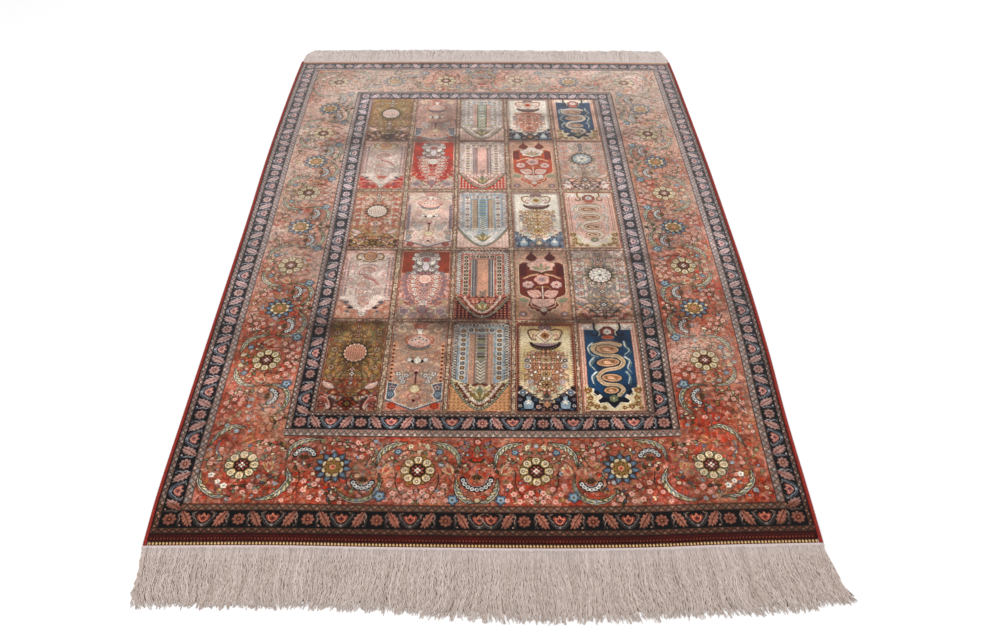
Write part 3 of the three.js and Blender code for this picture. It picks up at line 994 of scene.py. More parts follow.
# %% The niche with columns
def niche(pen, rope, base, beads, rail, middle, rungs, arch_yarn, line, corner, spot):
    """Yarns of the frame, the ground, the beads, the columns' rails, the space between them and its
    rungs, the arch and its line, the corners and their spots."""
    both = pen.mirrored()
    ground(pen, 0, "umber", 1.4, rope, 12, base)
    for path in ([(-58, -50), (-58, 124)], [(-52, 123.5), (0, 123.5)]):
        for k, place in enumerate(stations(both, path, 7.8)):
            place.bend([(-4, -4), (0, 3.6), (4, -3), (1, -4)], 3, 2.2, "white")
            place.dot(3.6, 3.2, 1.5, "slate" if rope != "slate" else "night")
    filling(pen, "stone", ("white", middle), 24, 8.0, 0.5)
    for k, place in enumerate([*stations(both, [(-40, -44), (-40, 104)], 14.0),
                               *stations(both, [(-30, 106), (6, 106)], 13.0)]):
        place.fill(box(-5, -5, 5, 5), beads[k % 2], "white", 1.5)
        place.ring(4).line([(0, 2), (0, 5)], 1.4, "umber")
        place.dot(0, 0, 1.5, "cream")
    both.fill(box(14, -56, 27, 94), "white", "stone", 1.0)
    both.fill(box(15.5, -54, 19, 94), rail, "umber", 0.6)
    both.fill(box(21.5, -54, 25, 94), rail, "umber", 0.6)
    pen.fill(box(-14, -62, 14, 94), middle)
    both.line([(13.5, -58), (13.5, 94)], 1.2, "umber")
    for k, y in enumerate(np.arange(6, 90, 9.0) if rungs else ()):
        pen.fill(box(-8, y - 2.6, 8, y + 2.6), rungs[k % len(rungs)])
        both.dot(10.5, y + 4.5, 1.4, "white")
    for y in np.arange(-52, 4 if rungs else -30, 9.0):
        both.line([(0, y), (8, y + 8)], 2.4, "white" if rungs else rail)
        both.line([(0, y - 4), (7, y + 3)], 1.4, "moss")
    outer = arch(78, 1.7, 0, 2.0, 3)
    both.fill(np.concatenate([outer + (0, 4), [(0, -58), (-30, -54), (-60, -40)]]), arch_yarn)
    filling(below(pen, 80), line, ("white", spot), 25, 7.0, 0.8)
    for share, drop, yarn in ((0.82, -12, line), (0.62, -29, "white")):
        for place in stations(both, outer * share + (0, drop), 7.0):
            place.line([(-3.4, -2), (0, 3), (3.4, -2)], 1.9, yarn)
            place.dot(0, 4.2, 1.5, "white" if yarn == line else line)
    pen.at(0, -104).fill(petal(40, 22, 0.7), "sage", "slate", 1.4)
    for turn in (-40, -20, 0, 20, 40):
        pen.at(0, -102, turn).fill(petal(32, 5), "cream" if turn % 40 else "gold", "moss", 0.8)
    lower_corners(pen, corner, outer, "moss", 1.4, 6.5)
    for place in stations(both, outer, 6.5):
        place.dot(0, 0, 2.2, "white")
        place.dot(0, 0, 1.0, "night")
    for x in np.arange(18, 62, 8.6):
        for y in np.arange(-123, -133 + 78 * (x / 62) ** 1.7, 8.6):
            both.dot(x, y, 2.5, spot)

# %% [markdown]
# A tree hangs from a boat-shaped bowl. Each pair of branches is one smooth path with leaves at even
# steps on it, and a table of heights and reaches gives the crown its outline.

# %% The flowering tree
def flowering_tree(pen, base, shade, saw, crown, heart, boat, corner, bloom):
    """Yarns of the ground and its shade, the toothed frame, the stems, the flowers' hearts, the bowl,
    the corners and the flowers."""
    both = pen.mirrored()
    ground(pen, 0, "umber", 1.4, saw, 5.0, base)
    wash(pen.within(pen.clip[0], pen.clip[1] + 90, pen.clip[2], pen.clip[3]), shade, 0.9, 15, 50)
    both.line([(58.5, 124), (58.5, -70)], 5.0, base)
    for y in np.arange(-68, 122, 5.2):
        both.fill([(61, y - 2.4), (54.5, y), (61, y + 2.4)], saw)
    for x in np.arange(3, 60, 8.0):
        both.fill(oval(8.4, 9, x, 124), saw)
        both.dot(x, 125, 1.5, "mauve")
    roundel(pen.at(0, 114).stretched(1.7, 0.8), 9, "mauve", "umber", "rose")
    both.bend([(14, 106), (26, 110), (38, 104), (36, 90), (30, 78), (22, 76)], 4, 4.4, crown, 0.7)
    both.bend([(16, 104), (26, 106), (33, 100), (32, 90)], 4, 2.0, bloom, 0.7)
    both.bend([(20, 88), (26, 94), (28, 84), (20, 78)], 4, 2.2, "rose")
    pen.fill(oval(37, 42, 0, 90, 4), "white", "umber", 1.4)
    pen.fill(oval(29, 33, 0, 90, 4), bloom)
    pen.at(0, 90).ring(8).fill(petal(11, 6, 0.9), heart)
    pen.dot(0, 90, 2.6, "wine")
    pen.fill(arc(31, 180, 360, 12, 0, 66, 0.5), "mauve")
    pen.fill(np.concatenate([arc(35, 176, 364, 15, 0, 68, 0.66), arc(30, 354, 186, 13, 0, 70, 0.46)]),
             boat, "umber", 0.8)
    for x in np.arange(-24, 25, 6.0):
        pen.dot(x, 48 + 0.014 * x * x, 1.2, "stone")
    west, south, east, north = pen.clip
    filling(pen.within(west + 16, south + 40, east - 16, (south + north) / 2 + 40), crown,
            (bloom, "salmon", "white"), 26, 9.0, 0.45)
    pen.line([(0, 46), (0, -100)], 2.4, crown)
    for y, reach, lift in [(36, 38, -8), (20, 42, -2), (4, 43, 4), (-12, 42, 8), (-28, 40, 10),
                           (-44, 37, 12), (-60, 30, 12), (-76, 20, 10)]:
        path = curve([(0, y), (reach * 0.45, y + lift * 0.1), (reach, y + lift)], 5)
        both.line(path, 2.2, crown, 0.6)
        for k, spot in enumerate(stations(both, path, 10.5)):
            spot.fill(petal(10.5, 6, 0.8), (bloom, "white", "pink")[(k + int(y)) % 3], crown, 1.1)
            spot.at(turn=180).fill(petal(8, 5, 0.8), ("salmon", bloom)[k % 2], crown, 1.0)
            spot.dot(0, 0, 1.5, (heart, "brown")[k % 2])
    for x, y, size in [(0, 16, 9), (0, -26, 10), (0, -56, 13), (22, -8, 6), (20, -40, 6), (16, 34, 6)]:
        roundel(both.at(x, y), size, heart if x == 0 else bloom, "cream" if x == 0 else crown, "wine")
    for x, y, yarn in [(42, 14, boat), (41, -3, "slate"), (35, -48, "mauve"), (30, -66, "sage")]:
        roundel(both.at(x, y), 6.6, yarn, "white", "white")
    pen.at(0, -98).ring(5, 35).fill(petal(15, 7), "stone", "umber", 0.9)
    lower_corners(pen, corner, arch(66, 0.95, 7), "umber")
    filling(below(pen, 50), corner, (), 27, 9.0)
    both.at(51, -78).fill(oval(23, 19, count=4), "white", "umber", 1.4)
    roundel(both.at(51, -78), 6, "blue", "slate", "white")
    both.at(39, -104).fill([(-5, 16), (5, 16), (4, 6), (11, -2), (9, -18), (-9, -18), (-11, -2), (-4, 6)],
                           "sky", "navy", 1.4)
    both.at(39, -104).ring(5).fill(petal(8, 4), "white")
    for x, y, yarn, size in [(57, -97, "mauve", 4.6), (57, -114, "white", 4.2), (18, -117, "pink", 6.0),
                             (52, -124, "blue", 4.0), (24, -98, "blue", 4.6), (36, -84, "mauve", 4.4),
                             (8, -124, "tan", 4), (28, -124, "sky", 3.6)]:
        roundel(both.at(x, y), size, yarn, "navy", "slate", 5)
    pen.at(0, -110).fill(oval(15, 20, count=4), bloom, "umber", 1.3)

# %% [markdown]
# A pale ribbon winds down between flowers. It is one path drawn four times, wide and dark first and
# narrow and light last, which gives it its edges, and ovals lie over its bends.

# %% The winding ribbon
def ribbon(pen, base, band, edge, rim, crown, corner, leaf, point, shadow):
    """Yarns of the ground, the ribbon and its ovals, the frame, the top flower, the corners and their
    leaves, the point and the ribbon's edges."""
    both = pen.mirrored()
    ground(pen, 0, "umber", 1.4, rim, 4.6, "cream", 6.0, "rose", 7.2, rim, 11.5, "umber", 12.6, base)
    pen.fill(box(-57, 108, 57, 124), "white")
    both.bend([(56, 120), (46, 116), (52, 110), (38, 112), (34, 122)], 4, 1.6, "mauve")
    if base == "teal":
        wash(pen.within(pen.clip[0] + 14, pen.clip[1], pen.clip[2] - 14, pen.clip[3] - 20), shadow, 0.5,
             16, 24)
    both.bend([(28, 128), (29, 112), (22, 104), (24, 92), (33, 90), (34, 98)], 4, 4.8, shadow, 0.7)
    both.bend([(23, 124), (24, 110), (17, 102), (19, 90)], 4, 3.0, "cream", 0.7)
    pen.fill(scallop(16, 8, 0.16) + (0, 102), crown, "umber", 1.8)
    roundel(pen.at(0, 102), 9, "white", "mauve", "slate")
    pen.fill(oval(26, 8, 0, 84), "rust", "peach", 1.4)
    pen.line(arc(32, 50, 130, 9, 0, 42), 6.0, "mauve")
    for x in np.arange(-16, 17, 5.3):
        pen.dot(x, 74 - 0.012 * x * x, 1.5, shadow)
    path = curve([(24, 60), (2, 66), (-30, 60), (-34, 44), (-14, 30), (16, 26), (28, 8), (16, -8),
                  (-14, -16), (-28, -34), (-16, -54), (12, -58), (22, -72), (12, -86)], 5)
    pen.line(path, 14.0, shadow, 0.8)
    pen.line(path, 11.0, "cream", 0.8)
    pen.line(path, 8.0, band, 0.8)
    pen.line(path, 1.4, "stone", 0.8)
    for x, y, width, height, turn in [(-4, 47, 50, 26, -4), (-5, 8, 50, 24, 4), (0, -37, 43, 22, -4),
                                      (-3, -72, 32, 19, 4)]:
        spot = pen.at(x, y, turn)
        spot.fill(oval(width, height), band, shadow, 2.2)
        spot.fill(oval(width - 5, height - 5), edge)
        spot.fill(oval(width - 12, height - 10), "tan", "umber", 1.0)
        spot.line(arc(width * 0.26, 10, 300, 10, -2, 0, 0.5), 3.0, leaf, 0.5)
        spot.line(arc(width * 0.16, 150, 380, 8, 2, 0, 0.5), 1.8, "cream")
        spot.fill(oval(width * 0.2, height * 0.34, width * 0.2, 1), leaf)
        spot.dot(-width * 0.26, 0, 2.2, "olive")
    for points in ([(-36, 66), (-46, 54), (-42, 34), (-26, 24)], [(-36, 22), (-45, 4), (-34, -14)],
                   [(-32, -20), (-42, -34), (-40, -52)], [(34, 70), (36, 56), (44, 44), (32, 30)],
                   [(32, 24), (42, 12), (36, -8), (42, -20)], [(32, -20), (38, -34), (34, -54)]):
        pen.bend(points, 5, 5.4, "sky", 0.3)
        pen.bend(points, 5, 2.0, "white", 0.4)
        pen.bend([(a + 3, b - 6) for a, b in points], 5, 2.2, "sage", 0.4)
    tip = np.array([(-51, -66), (-40, -68), (-42, -78), (-34, -88), (-28, -84), (-24, -90), (-34, -100),
                    (-30, -108), (-14, -106), (-8, -114), (0, -123)], float)
    both.fill(np.concatenate([tip, [(0, -128), (-57, -125), (-57, -58), (-51, -58)]]), corner)
    both.fill(np.concatenate([[(-24, -90)], tip[6:], [(0, -96)]]), point)
    both.fill(oval(13, 15, 35, -80), point)
    both.line(tip, 2.0, "white")
    roundel(pen.at(0, -95), 9, "sage", "moss", "cream")
    both.bend([(56, -66), (48, -86), (56, -104), (40, -112), (24, -122)], 4, 1.8, "olive")
    for x, y, turn, size in [(53, -74, 10, 1.3), (48, -94, -30, 1.0), (50, -110, 60, 1.1),
                             (36, -118, 0, 1.0), (22, -120, 80, 0.8), (56, -122, 30, 0.8)]:
        spot = both.at(x, y, turn, size)
        spot.fill([(0, -6), (6, 0), (5, 8), (2, 3), (0, 9), (-2, 3), (-5, 8), (-6, 0)], leaf, "gold", 0.8)
        spot.dot(0, 0, 1.8, "pink")

# %% [markdown]
# Five bands start round an eye and sweep away together, over a chain of small spirals. Each band is
# an arc and a smooth path that share their radius.

# %% The swirl
def swirl(pen, base, curl, ring, arch_yarn, corner, top, mark):
    """Yarns of the ground, the bands, the top flower's ring, the arch, the corners, the upper corners
    and the spirals."""
    both = pen.mirrored()
    ground(pen, 0, "umber", 1.4, top, 6.0, base)
    wash(pen, "stone", 0.5, 18, 24)
    both.fill(box(48, -48, 60, 100), "mauve", "stone", 0.8)
    both.line([(54, -48), (54, 100)], 4.0, "pink")
    both.fill([(61, 127), (22, 127), (38, 112), (61, 104)], top)
    filling(pen, "stone", (base, top), 28, 9.0, 0.5)
    pen.fill(scallop(15, 8, 0.1) + (0, 106), "peach", ring, 3.0)
    roundel(pen.at(0, 106), 8, "pink", "bronze", "rose")
    both.bend([(16, 112), (26, 118), (34, 108), (32, 94), (22, 92)], 4, 4.4, ring)
    both.dot(26, 102, 4.2, "cream")
    pen.bend([(-18, 88), (0, 82), (18, 88)], 5, 4.0, ring)
    for k, radius in enumerate((32, 26, 20, 14, 8)):
        yarn = (curl, "pink", mark, curl, mark)[k]
        pen.line(arc(radius, 15, 215, 14, -2, 40, 1.05), 2.8, yarn, 0.6)
        sweep = curve([(-2 - radius, 34), (-8, 16 + 0.5 * radius), (14, 6 + 0.45 * radius),
                       (30, -14 + 0.5 * radius)], 5)
        pen.line(sweep, 2.8, yarn, 0.6)
        pen.line(sweep + (0, -3), 1.2, "white", 0.6)
    for k, (x, y) in enumerate([(-12, -8), (4, -18), (-12, -32), (5, -44), (-8, -58), (6, -70)]):
        scroll(pen.at(x, y, 70 * k), (mark, curl)[k % 2], 2.8, 1.15 - 0.06 * k)
        scroll(pen.at(x, y, 70 * k + 14), "pink", 1.3, 1.15 - 0.06 * k)
    for x in (20, 25, 30, 35):
        pen.line([(x, -14 - x / 3), (x - 3, -54 + x / 3)], 1.6, curl)
    for x, y in [(-30, 70), (-36, 52), (32, 58), (36, 30), (-34, 8), (-30, -14)]:
        pen.at(x, y, 9 * x).fill(petal(14, 7, 0.8), "pink", curl, 1.4)
    lower_corners(pen, corner, arch(62, 0.8, 6), arch_yarn, 3.0, 3.0)
    filling(below(pen, 62), mark, ("pink", "peach", corner, "white"), 29, 9.0, 0.55)
    for x, y, size in [(40, -64, 13), (29, -82, 12), (16, -98, 11), (0, -110, 11)]:
        both.fill(scallop(size, 6, 0.2) + (x * 0.82, y + 8), base)
    both.fill(oval(15, 8, 30, -92), "navy" if corner != "crimson" else "pink")
    both.fill(oval(12, 11, 43, -72), "slate")
    both.fill(oval(9, 8, 36, -106), "slate")
    roundel(pen.at(0, -116), 8, "white", "stone", "stone")

# %% [markdown]
# Rows of five-petalled flowers fill a bright ground on both sides of one tall stem. The rows' widths
# follow a table, so that the spray swells in the middle and closes at the point.

# %% The spray on a bright ground
def spray(pen, top, base, bloom, leaf, corner, accent, reach):
    """reach is how far down the bright ground comes; below it is the plain one."""
    both = pen.mirrored()
    ground(pen, 0, "umber", 1.4, corner, 4.0, base)
    pen.fill(box(-60, reach, 60, 125), top)
    wash(pen, "russet", 0.35, 19, 20)
    both.fill([(0, 126), (20, 122), (34, 104), (24, 84), (32, 66), (26, 50), (40, 38), (0, 30)], "stone",
              accent, 1.6)
    filling(pen.within(pen.clip[0], pen.clip[1], pen.clip[2], pen.clip[1] + 150), leaf,
            (bloom, "stone", top), 30, 9.0, 0.6)
    for y, reach_x in [(112, 26), (96, 30), (80, 24), (64, 28), (50, 26), (38, 42), (24, 48), (8, 50),
                       (-8, 50), (-24, 46), (-40, 42), (-56, 36), (-70, 26), (-84, 16)]:
        for k, x in enumerate(np.arange(reach_x, 6 if y > 40 else -1, -11.0)):
            spot = both.at(x, y + 2 * (k % 2), 37 * k + y)
            if y > 30:
                yarn, rim = ("white", "pearl", "stone")[(k + y) % 3], "slate"
            else:
                yarn, rim = ("white", bloom, leaf, "pink")[(k + y // 4) % 4], accent
            spot.ring(5).fill(petal(8.0, 5.6, 0.9), yarn, rim, 1.0)
            spot.dot(0, 0, 1.9, "wine" if k % 2 else "slate")
    both.bend([(0, 60), (26, 50), (44, 28), (40, 6), (46, -20), (28, -46), (0, -66)], 4, 2.0, leaf)
    pen.line([(0, 20), (0, -96)], 2.2, "pink")
    pen.fill(oval(28, 24, 0, 92), "mauve", "pearl", 2.6)
    pen.fill(oval(15, 14, 0, 92), "rose")
    both.at(12, 70, -30).fill(petal(24, 12, 0.9), "white", "slate", 1.3)
    pen.at(0, 50).fill(petal(32, 14, 0.9), "lilac", "white", 1.6)
    pen.fill(box(-22, 36, 22, 43), "mauve", "wine", 1.4)
    for x in (-16, -8, 0, 8, 16):
        pen.dot(x, 39.5, 2.0, "crimson" if x % 16 else "wine")
    pen.fill(oval(25, 26, 0, 16), bloom, "white", 2.2)
    for y in (-20, -38, -56):
        both.line([(0, y), (14, y + 12), (24, y + 8)], 2.0, "pink")
        roundel(pen.at(0, y), 6.5, "pink", leaf, "wine")
    lower_corners(pen, corner, arch(56, 0.78, 6), "white")
    both.line(arch(56, 0.78, 6) + (0, 7), 3.0, accent)
    filling(below(pen, 46), "mauve", (leaf, "pink", "sage", "cream"), 31, 8.0)
    both.fill(scallop(12, 6, 0.2) + (44, -104), "mauve", "pearl", 1.6)
    both.fill(box(48, -78, 58, -62), "sand")
    pen.fill([(-13, -92), (0, -84), (13, -92), (0, -122)], "mauve", accent, 1.8)

# %% [markdown]
# A dark shield with steps and lobes carries a lily, rosettes and two large petals. Only half of the
# outline is listed; the other half is its mirror image.

# %% The lobed shield
def shield(pen, base, body, deep, bloom, pale, corner, line):
    """Lily, leaves, rosettes and two large petals in pale yarns cover most of a dark lobed ground."""
    both = pen.mirrored()
    ground(pen, 0, "umber", 1.4, corner, 4.0, base)
    wash(pen, corner, 0.6, 20, 30)
    filling(pen, "stone", ("sage", "pink", base), 32, 9.0, 0.5)
    half = np.array([(0, 46), (30, 72), (34, 84), (44, 84), (53, 76), (55, 66), (55, -32), (52, -42),
                     (34, -52), (29, -58), (37, -82), (31, -86), (28, -94), (20, -94), (17, -103),
                     (9, -103), (6, -113), (0, -121)], float)
    pen.fill(np.concatenate([half, half[:0:-1] * (-1, 1)]), body, "cream", 2.0)
    both.fill(box(36, 30, 54, 76), deep)
    both.at(23, 88).fill(petal(32, 26, 0.75), deep, "rose", 1.2)
    both.line([(23, 116), (23, 125)], 5.0, deep, 0.5)
    pen.fill([(-9, 98), (-16, 86), (-31, 80), (-34, 72), (-26, 62), (-28, 54), (-10, 50), (0, 44),
              (10, 50), (28, 54), (26, 62), (34, 72), (31, 80), (16, 86), (9, 98)], pale, "sage", 1.4)
    for turn in (-56, -28, 0, 28, 56):
        pen.at(0, 52, turn).fill(petal(28, 8), "tan" if turn % 56 else "sage", "stone", 0.9)
    both.bend([(0, 42), (16, 44), (30, 36)], 4, 2.6, "moss", 0.5)
    both.bend([(10, 36), (26, 32), (44, 20)], 4, 6.4, "peach", 0.7)
    both.bend([(12, 34), (26, 30), (42, 20)], 4, 1.4, "cream", 0.7)
    roundel(pen.at(0, 16), 19, bloom, "rose", "wine", 5)
    pen.at(0, 16).ring(5, 36).fill(petal(11, 6), "mauve")
    roundel(both.at(34, -3), 13.5, bloom, "mauve", "rose", 7)
    both.at(34, -3).ring(7, 20).dot(0, 8, 1.5, "white")
    both.bend([(3, -12), (12, -12), (20, -20)], 4, 3.4, "gold", 0.6)
    both.at(3, -46, -62).fill(petal(40, 31, 0.8), pale, deep, 1.8)
    both.at(4, -44, -62).fill(petal(34, 22, 0.8), bloom)
    both.bend([(6, -42), (20, -36), (34, -30)], 4, 1.4, "rose")
    both.bend([(8, -40), (18, -28), (30, -22)], 4, 1.2, "rose")
    pen.line([(0, -10), (0, -56)], 3.0, "white")
    pen.fill([(-28, -58), (-22, -54), (0, -58), (22, -54), (28, -58), (26, -74), (12, -84), (0, -92),
              (-12, -84), (-26, -74)], pale, deep, 1.6)
    for turn in (-50, -25, 0, 25, 50):
        pen.at(0, -90, turn).fill(petal(30, 6), bloom, "stone", 0.9)
    both.bend([(29, -66), (27, -82), (14, -90), (4, -94)], 4, 2.4, "cream")
    roundel(pen.at(0, -97), 7.5, "white", "stone", "peach")
    both.line([(60, -58), (60, -125)], 1.8, line)
    both.line([(42, -125), (42, -100)], 1.2, line)
    both.fill(petal(26, 14, 0.8) @ np.array([[0.4, -0.9], [0.9, 0.4]]) + (36, -66), "sage", "stone", 1.0)
    roundel(both.at(48, -112), 9, "mauve", "umber", "white")

# %% [markdown]
# The plan of the field. Each row from the far end to the near one names a design and its yarns, and
# the places of columns and rows give every panel its own slightly different size.

# %% Colours of the twenty-five panels
COLUMNS = [(-361, -233), (-216, -90), (-76, 58), (73, 205), (218, 353)]
ROWS = [(443, 690), (191, 435), (-69, 175), (-338, -83), (-621, -350)]  # from the far end
PANELS = [
    [(medallion, "gold", "gold", "umber", "pearl", "olive", "bronze", "tan", "bronze", False),
     (vase, "tan", "mauve", "pink", "rose", "pink", "slate", "stone", "rose"),
     (niche, "mauve", "lilac", ("sand", "sky"), "pink", "sage", ("pearl", "sky"), "pearl", "stone",
      "pink", "white"),
     (flowering_tree, "white", "white", "stone", "rose", "rust", "umber", "navy", "peach"),
     (ribbon, "teal", "pearl", "tan", "pink", "rose", "cream", "bronze", "navy", "navy")],
    [(swirl, "pearl", "mauve", "gold", "mauve", "crimson", "pink", "rose"),
     (spray, "ember", "ember", "white", "crimson", "pearl", "ember", -60),
     (niche, "mauve", "pearl", ("sand", "mauve"), "mauve", "pink", (), "pearl", "rose", "ember", "white"),
     (shield, "tan", "rust", "russet", "pink", "pearl", "tan", "sage"),
     (medallion, "pearl", "pink", "peach", "sky", "rose", "pearl", "pink", "stone", True)],
    [(medallion, "pink", "pearl", "gold", "white", "rose", "gold", "salmon", "brick", False),
     (vase, "pearl", "pink", "mauve", "slate", "pink", "stone", "pink", "rose"),
     (niche, "mauve", "sky", ("mauve", "pearl"), "sand", "sky", ("blue", "sage"), "sky", "pearl",
      "pink", "white"),
     (flowering_tree, "white", "white", "stone", "bronze", "gold", "umber", "blue", "cream"),
     (ribbon, "pink", "pearl", "tan", "pink", "rose", "cream", "bronze", "pearl", "bronze")],
    [(swirl, "pearl", "mauve", "bronze", "slate", "tan", "pink", "rose"),
     (spray, "brick", "pink", "pink", "mauve", "tan", "rose", 40),
     (niche, "slate", "rose", ("moss", "umber"), "slate", "tan", (), "salmon", "wine", "wine", "salmon"),
     (shield, "tan", "russet", "wine", "pink", "pink", "tan", "gold"),
     (medallion, "tan", "pearl", "sand", "pearl", "umber", "peach", "pink", "slate", True)],
    [(medallion, "gold", "gold", "brick", "tan", "brown", "rose", "sand", "umber", False),
     (vase, "tan", "stone", "peach", "wine", "pink", "slate", "salmon", "rust"),
     (niche, "night", "sky", ("bronze", "slate"), "tan", "stone", ("slate", "sage", "moss"), "cream",
      "wine", "peach", "gold"),
     (flowering_tree, "cream", "gold", "russet", "umber", "bronze", "brown", "navy", "peach"),
     (ribbon, "teal", "sand", "peach", "pink", "russet", "cream", "bronze", "navy", "navy")],
]


def garden(chart):
    """The twenty-five panels over a field of fine, flecked filling."""
    low, high = corners("field")
    frame_band(chart, "field", "sand")
    fleck(Pen(chart, clip=(*low, *high)), ("mauve", "pearl", "brown", "umber", "pearl", "slate"), 3.4,
          0.95, 1)
    for row, (near, far) in zip(PANELS, ROWS):
        for (design, *yarns), (west, east) in zip(row, COLUMNS):
            pen = Pen(chart).within(west, near, east, far).at((west + east) / 2, (near + far) / 2)
            design(pen.stretched((east - west) / 128, (far - near) / 260), *yarns)
            for yarn, grow in (("salmon", 1.0), ("brown", 2.4)):
                edge = box(west - grow, near - grow, east + grow, far + grow)
                Pen(chart).line(np.concatenate([edge, edge[:1]]), 1.4, yarn)

# %% [markdown]
# Now the chart is drawn, from the edge of the rug inwards, so that each frame covers what strays
# into it. A square of the chart is a third of a cell of the pile, which is laid on it later.

# %% Draw the chart
PILE_PITCH = 2.8
CELL_SAMPLES = 3  # squares of the chart along one side of a cell
ROSE_PLACES = [-474, -303, -143, 16, 172, 329, 483, 632]  # round flowers and palmettes, in turn
AXIS = -10.0  # the middle of the ends
FILLING = ("sage", "cream", "salmon", "sky", "gold", "ember", "pink", "ember")

chart = Chart(WEST, SOUTH, EAST, NORTH, PILE_PITCH / CELL_SAMPLES)
frame_band(chart, "end_red", "garnet")
for x in np.arange(WEST + 14, EAST - 14, 6.4):
    Pen(chart).line([(x, SOUTH + 10.6), (x, SOUTH + 13)], 2.8, "salmon")
    Pen(chart).dot(x + 3.2, SOUTH + 17.4, 1.2, "rust")
low, high = corners("end_red")
Pen(chart).fill(box(low[0], high[1] - 6.5, high[0], high[1]), "salmon")
vine_stripe(chart, "stripe_one", "outer_guard", "stone", "brown", ("pink", "rose", "pearl"))
# Painted sheen: each narrow stripe and guard turns paler towards the far end.
painted_far_sheen(chart, "stripe_one", "lilac", 0.5)
guard_border(chart, "outer_guard", "stripe_two", 2 * (4 + SHORT_REPEAT), 14)
painted_far_sheen(chart, "outer_guard", "lilac", 0.7)
vine_stripe(chart, "stripe_two", "main", "stone", "brown", ("rose", "sky", "pink"))
painted_far_sheen(chart, "stripe_two", "lilac", 0.5)

frame_band(chart, "main", "rust")
(west, south), (east, north) = corners("main")
(inner_west, inner_south), (inner_east, inner_north) = corners("stripe_three")
sides = [(west, south, east, inner_south), (west, inner_north, east, north),
         (west, inner_south, inner_west, inner_north), (inner_east, inner_south, east, inner_north)]
whole = Pen(chart, clip=(west, south, east, north))
wash(whole, "peach", 0.75, 44, 70.0)
wash(whole, "mauve", 0.35, 45, 50.0)
wash(whole, "crimson", 0.4, 46, 62.0)
filling(whole, "wine", ("salmon", "rose", "brick"), 41, 11.0, 0.36)
# Painted sheen: paler clouds over the main border, growing towards the far end.
painted_sheen_clouds(chart, "main", "tan", 0.85, 0.12, 3)
painted_sheen_clouds(chart, "main", "pearl", 0.85, 0.4, 9)
filling(whole, "russet", ("sage", "salmon", "pearl"), 42, 10.0, 0.34)
for number, (a, b, c, d) in enumerate(sides):
    undergrowth(Pen(chart), a + 6, b + 6, c - 6, d - 6, FILLING, number)
near_end = Pen(chart).at(AXIS, south)
far_end = Pen(chart).at(AXIS, north, 180).stretched(1, (north - inner_north) / (inner_south - south))
for end in (near_end, far_end):
    end_middle(end)
    end_half(end)
    end_half(end.at(flip=True))
left_side = Pen(chart).at((west + inner_west) / 2, 0, 90)
right_side = Pen(chart).at((east + inner_east) / 2, 0, 90).stretched(1, -1)
for side in (left_side, right_side):
    main_side(side, ROSE_PLACES, 0.93)

# More painted sheen, in pearl, towards the far end.
painted_sheen_clouds(chart, "main", "pearl", 0.42, 0.45, 5)

vine_stripe(chart, "stripe_three", "inner_guard", "stone", "brown", ("rose", "pearl"))
# Painted sheen: each narrow stripe and guard turns paler towards the far end.
painted_far_sheen(chart, "stripe_three", "lilac", 0.5)
guard_border(chart, "inner_guard", "stripe_four", 6, 10)
painted_far_sheen(chart, "inner_guard", "lilac", 0.9)
vine_stripe(chart, "stripe_four", "field", "stone", "brown", ("rose", "pearl"), 12)
painted_far_sheen(chart, "stripe_four", "lilac", 0.5)
garden(chart)

# %% [markdown]
# Silk that has been walked on and folded loses its sharpness in places. There each square of the
# chart is mixed with the mean of its surroundings. A box blur by running sums gives that mean. The
# bands of the near end, which lean away from the light, get painted shade: deeper and warmer towards
# the edge, but the light motifs of the guard keep most of their brightness.

# %% Worn places and painted shade at the near end
def blurred(colour, radius):
    """The mean over a square of 2 * radius + 1, by differences of running sums along each axis."""
    for axis in (0, 1):
        pad = [(radius + 1, radius) if k == axis else (0, 0) for k in range(3)]
        total = np.cumsum(np.pad(colour, pad, mode="edge"), axis=axis, dtype=np.float64)
        width = 2 * radius + 1
        count = total.shape[axis] - width
        gain = np.take(total, range(width, width + count), axis) - np.take(total, range(count), axis)
        colour = (gain / width).astype(np.float32)
    return colour


# Painted shade: the near bands are darkened and warmed towards the edge.
SHADED = 92.0  # how far in from the near end the bands are deeper
EDGE_SHADE, SHADE_GAIN = np.array((0.64, 0.50, 0.42)), np.array((0.20, 0.24, 0.24))
part, x, y = chart.window((WEST, SOUTH), (EAST, SOUTH + SHADED))
from_edge = np.clip((y - SOUTH) / 90, 0, 1)[:, None, None]
shaded = EDGE_SHADE + from_edge * SHADE_GAIN
bright = np.clip(5 * (chart.colour[part].mean(axis=-1, keepdims=True) - 0.36), 0, 1)
shaded = shaded + 0.18 * bright * ((y > SOUTH + 38) & (y < SOUTH + 71))[:, None, None]
chart.colour[part] *= 1 - np.clip((SOUTH + SHADED - y) / 5, 0, 1)[:, None, None] * (1 - shaded)

part, x, y = chart.window((WEST, SOUTH), (EAST, NORTH))
worn = 0.55 * soft_noise(x, y, 90.0, 31) + 0.45 * soft_noise(x, y, 30.0, 32)
share = np.clip(2.0 * (worn - 0.56), 0.0, 0.45)[..., None]
chart.colour += share * (blurred(chart.colour, 3) - chart.colour)
grain = np.random.default_rng(9).normal(0, 1, chart.size)[..., None].astype(np.float32)
chart.colour = np.clip(chart.colour * (1 + 0.09 * grain), 0, 1)
print("chart of", chart.size, "squares")

# %% [markdown]
# The rug isn't a true rectangle: its sides bow out a little and its ends dip. The chart is drawn
# straight and laid out on the rug by its outline, given here as distances from the centre lines. A
# smooth curve passes through every row of a table, with the slope there that its neighbours give.

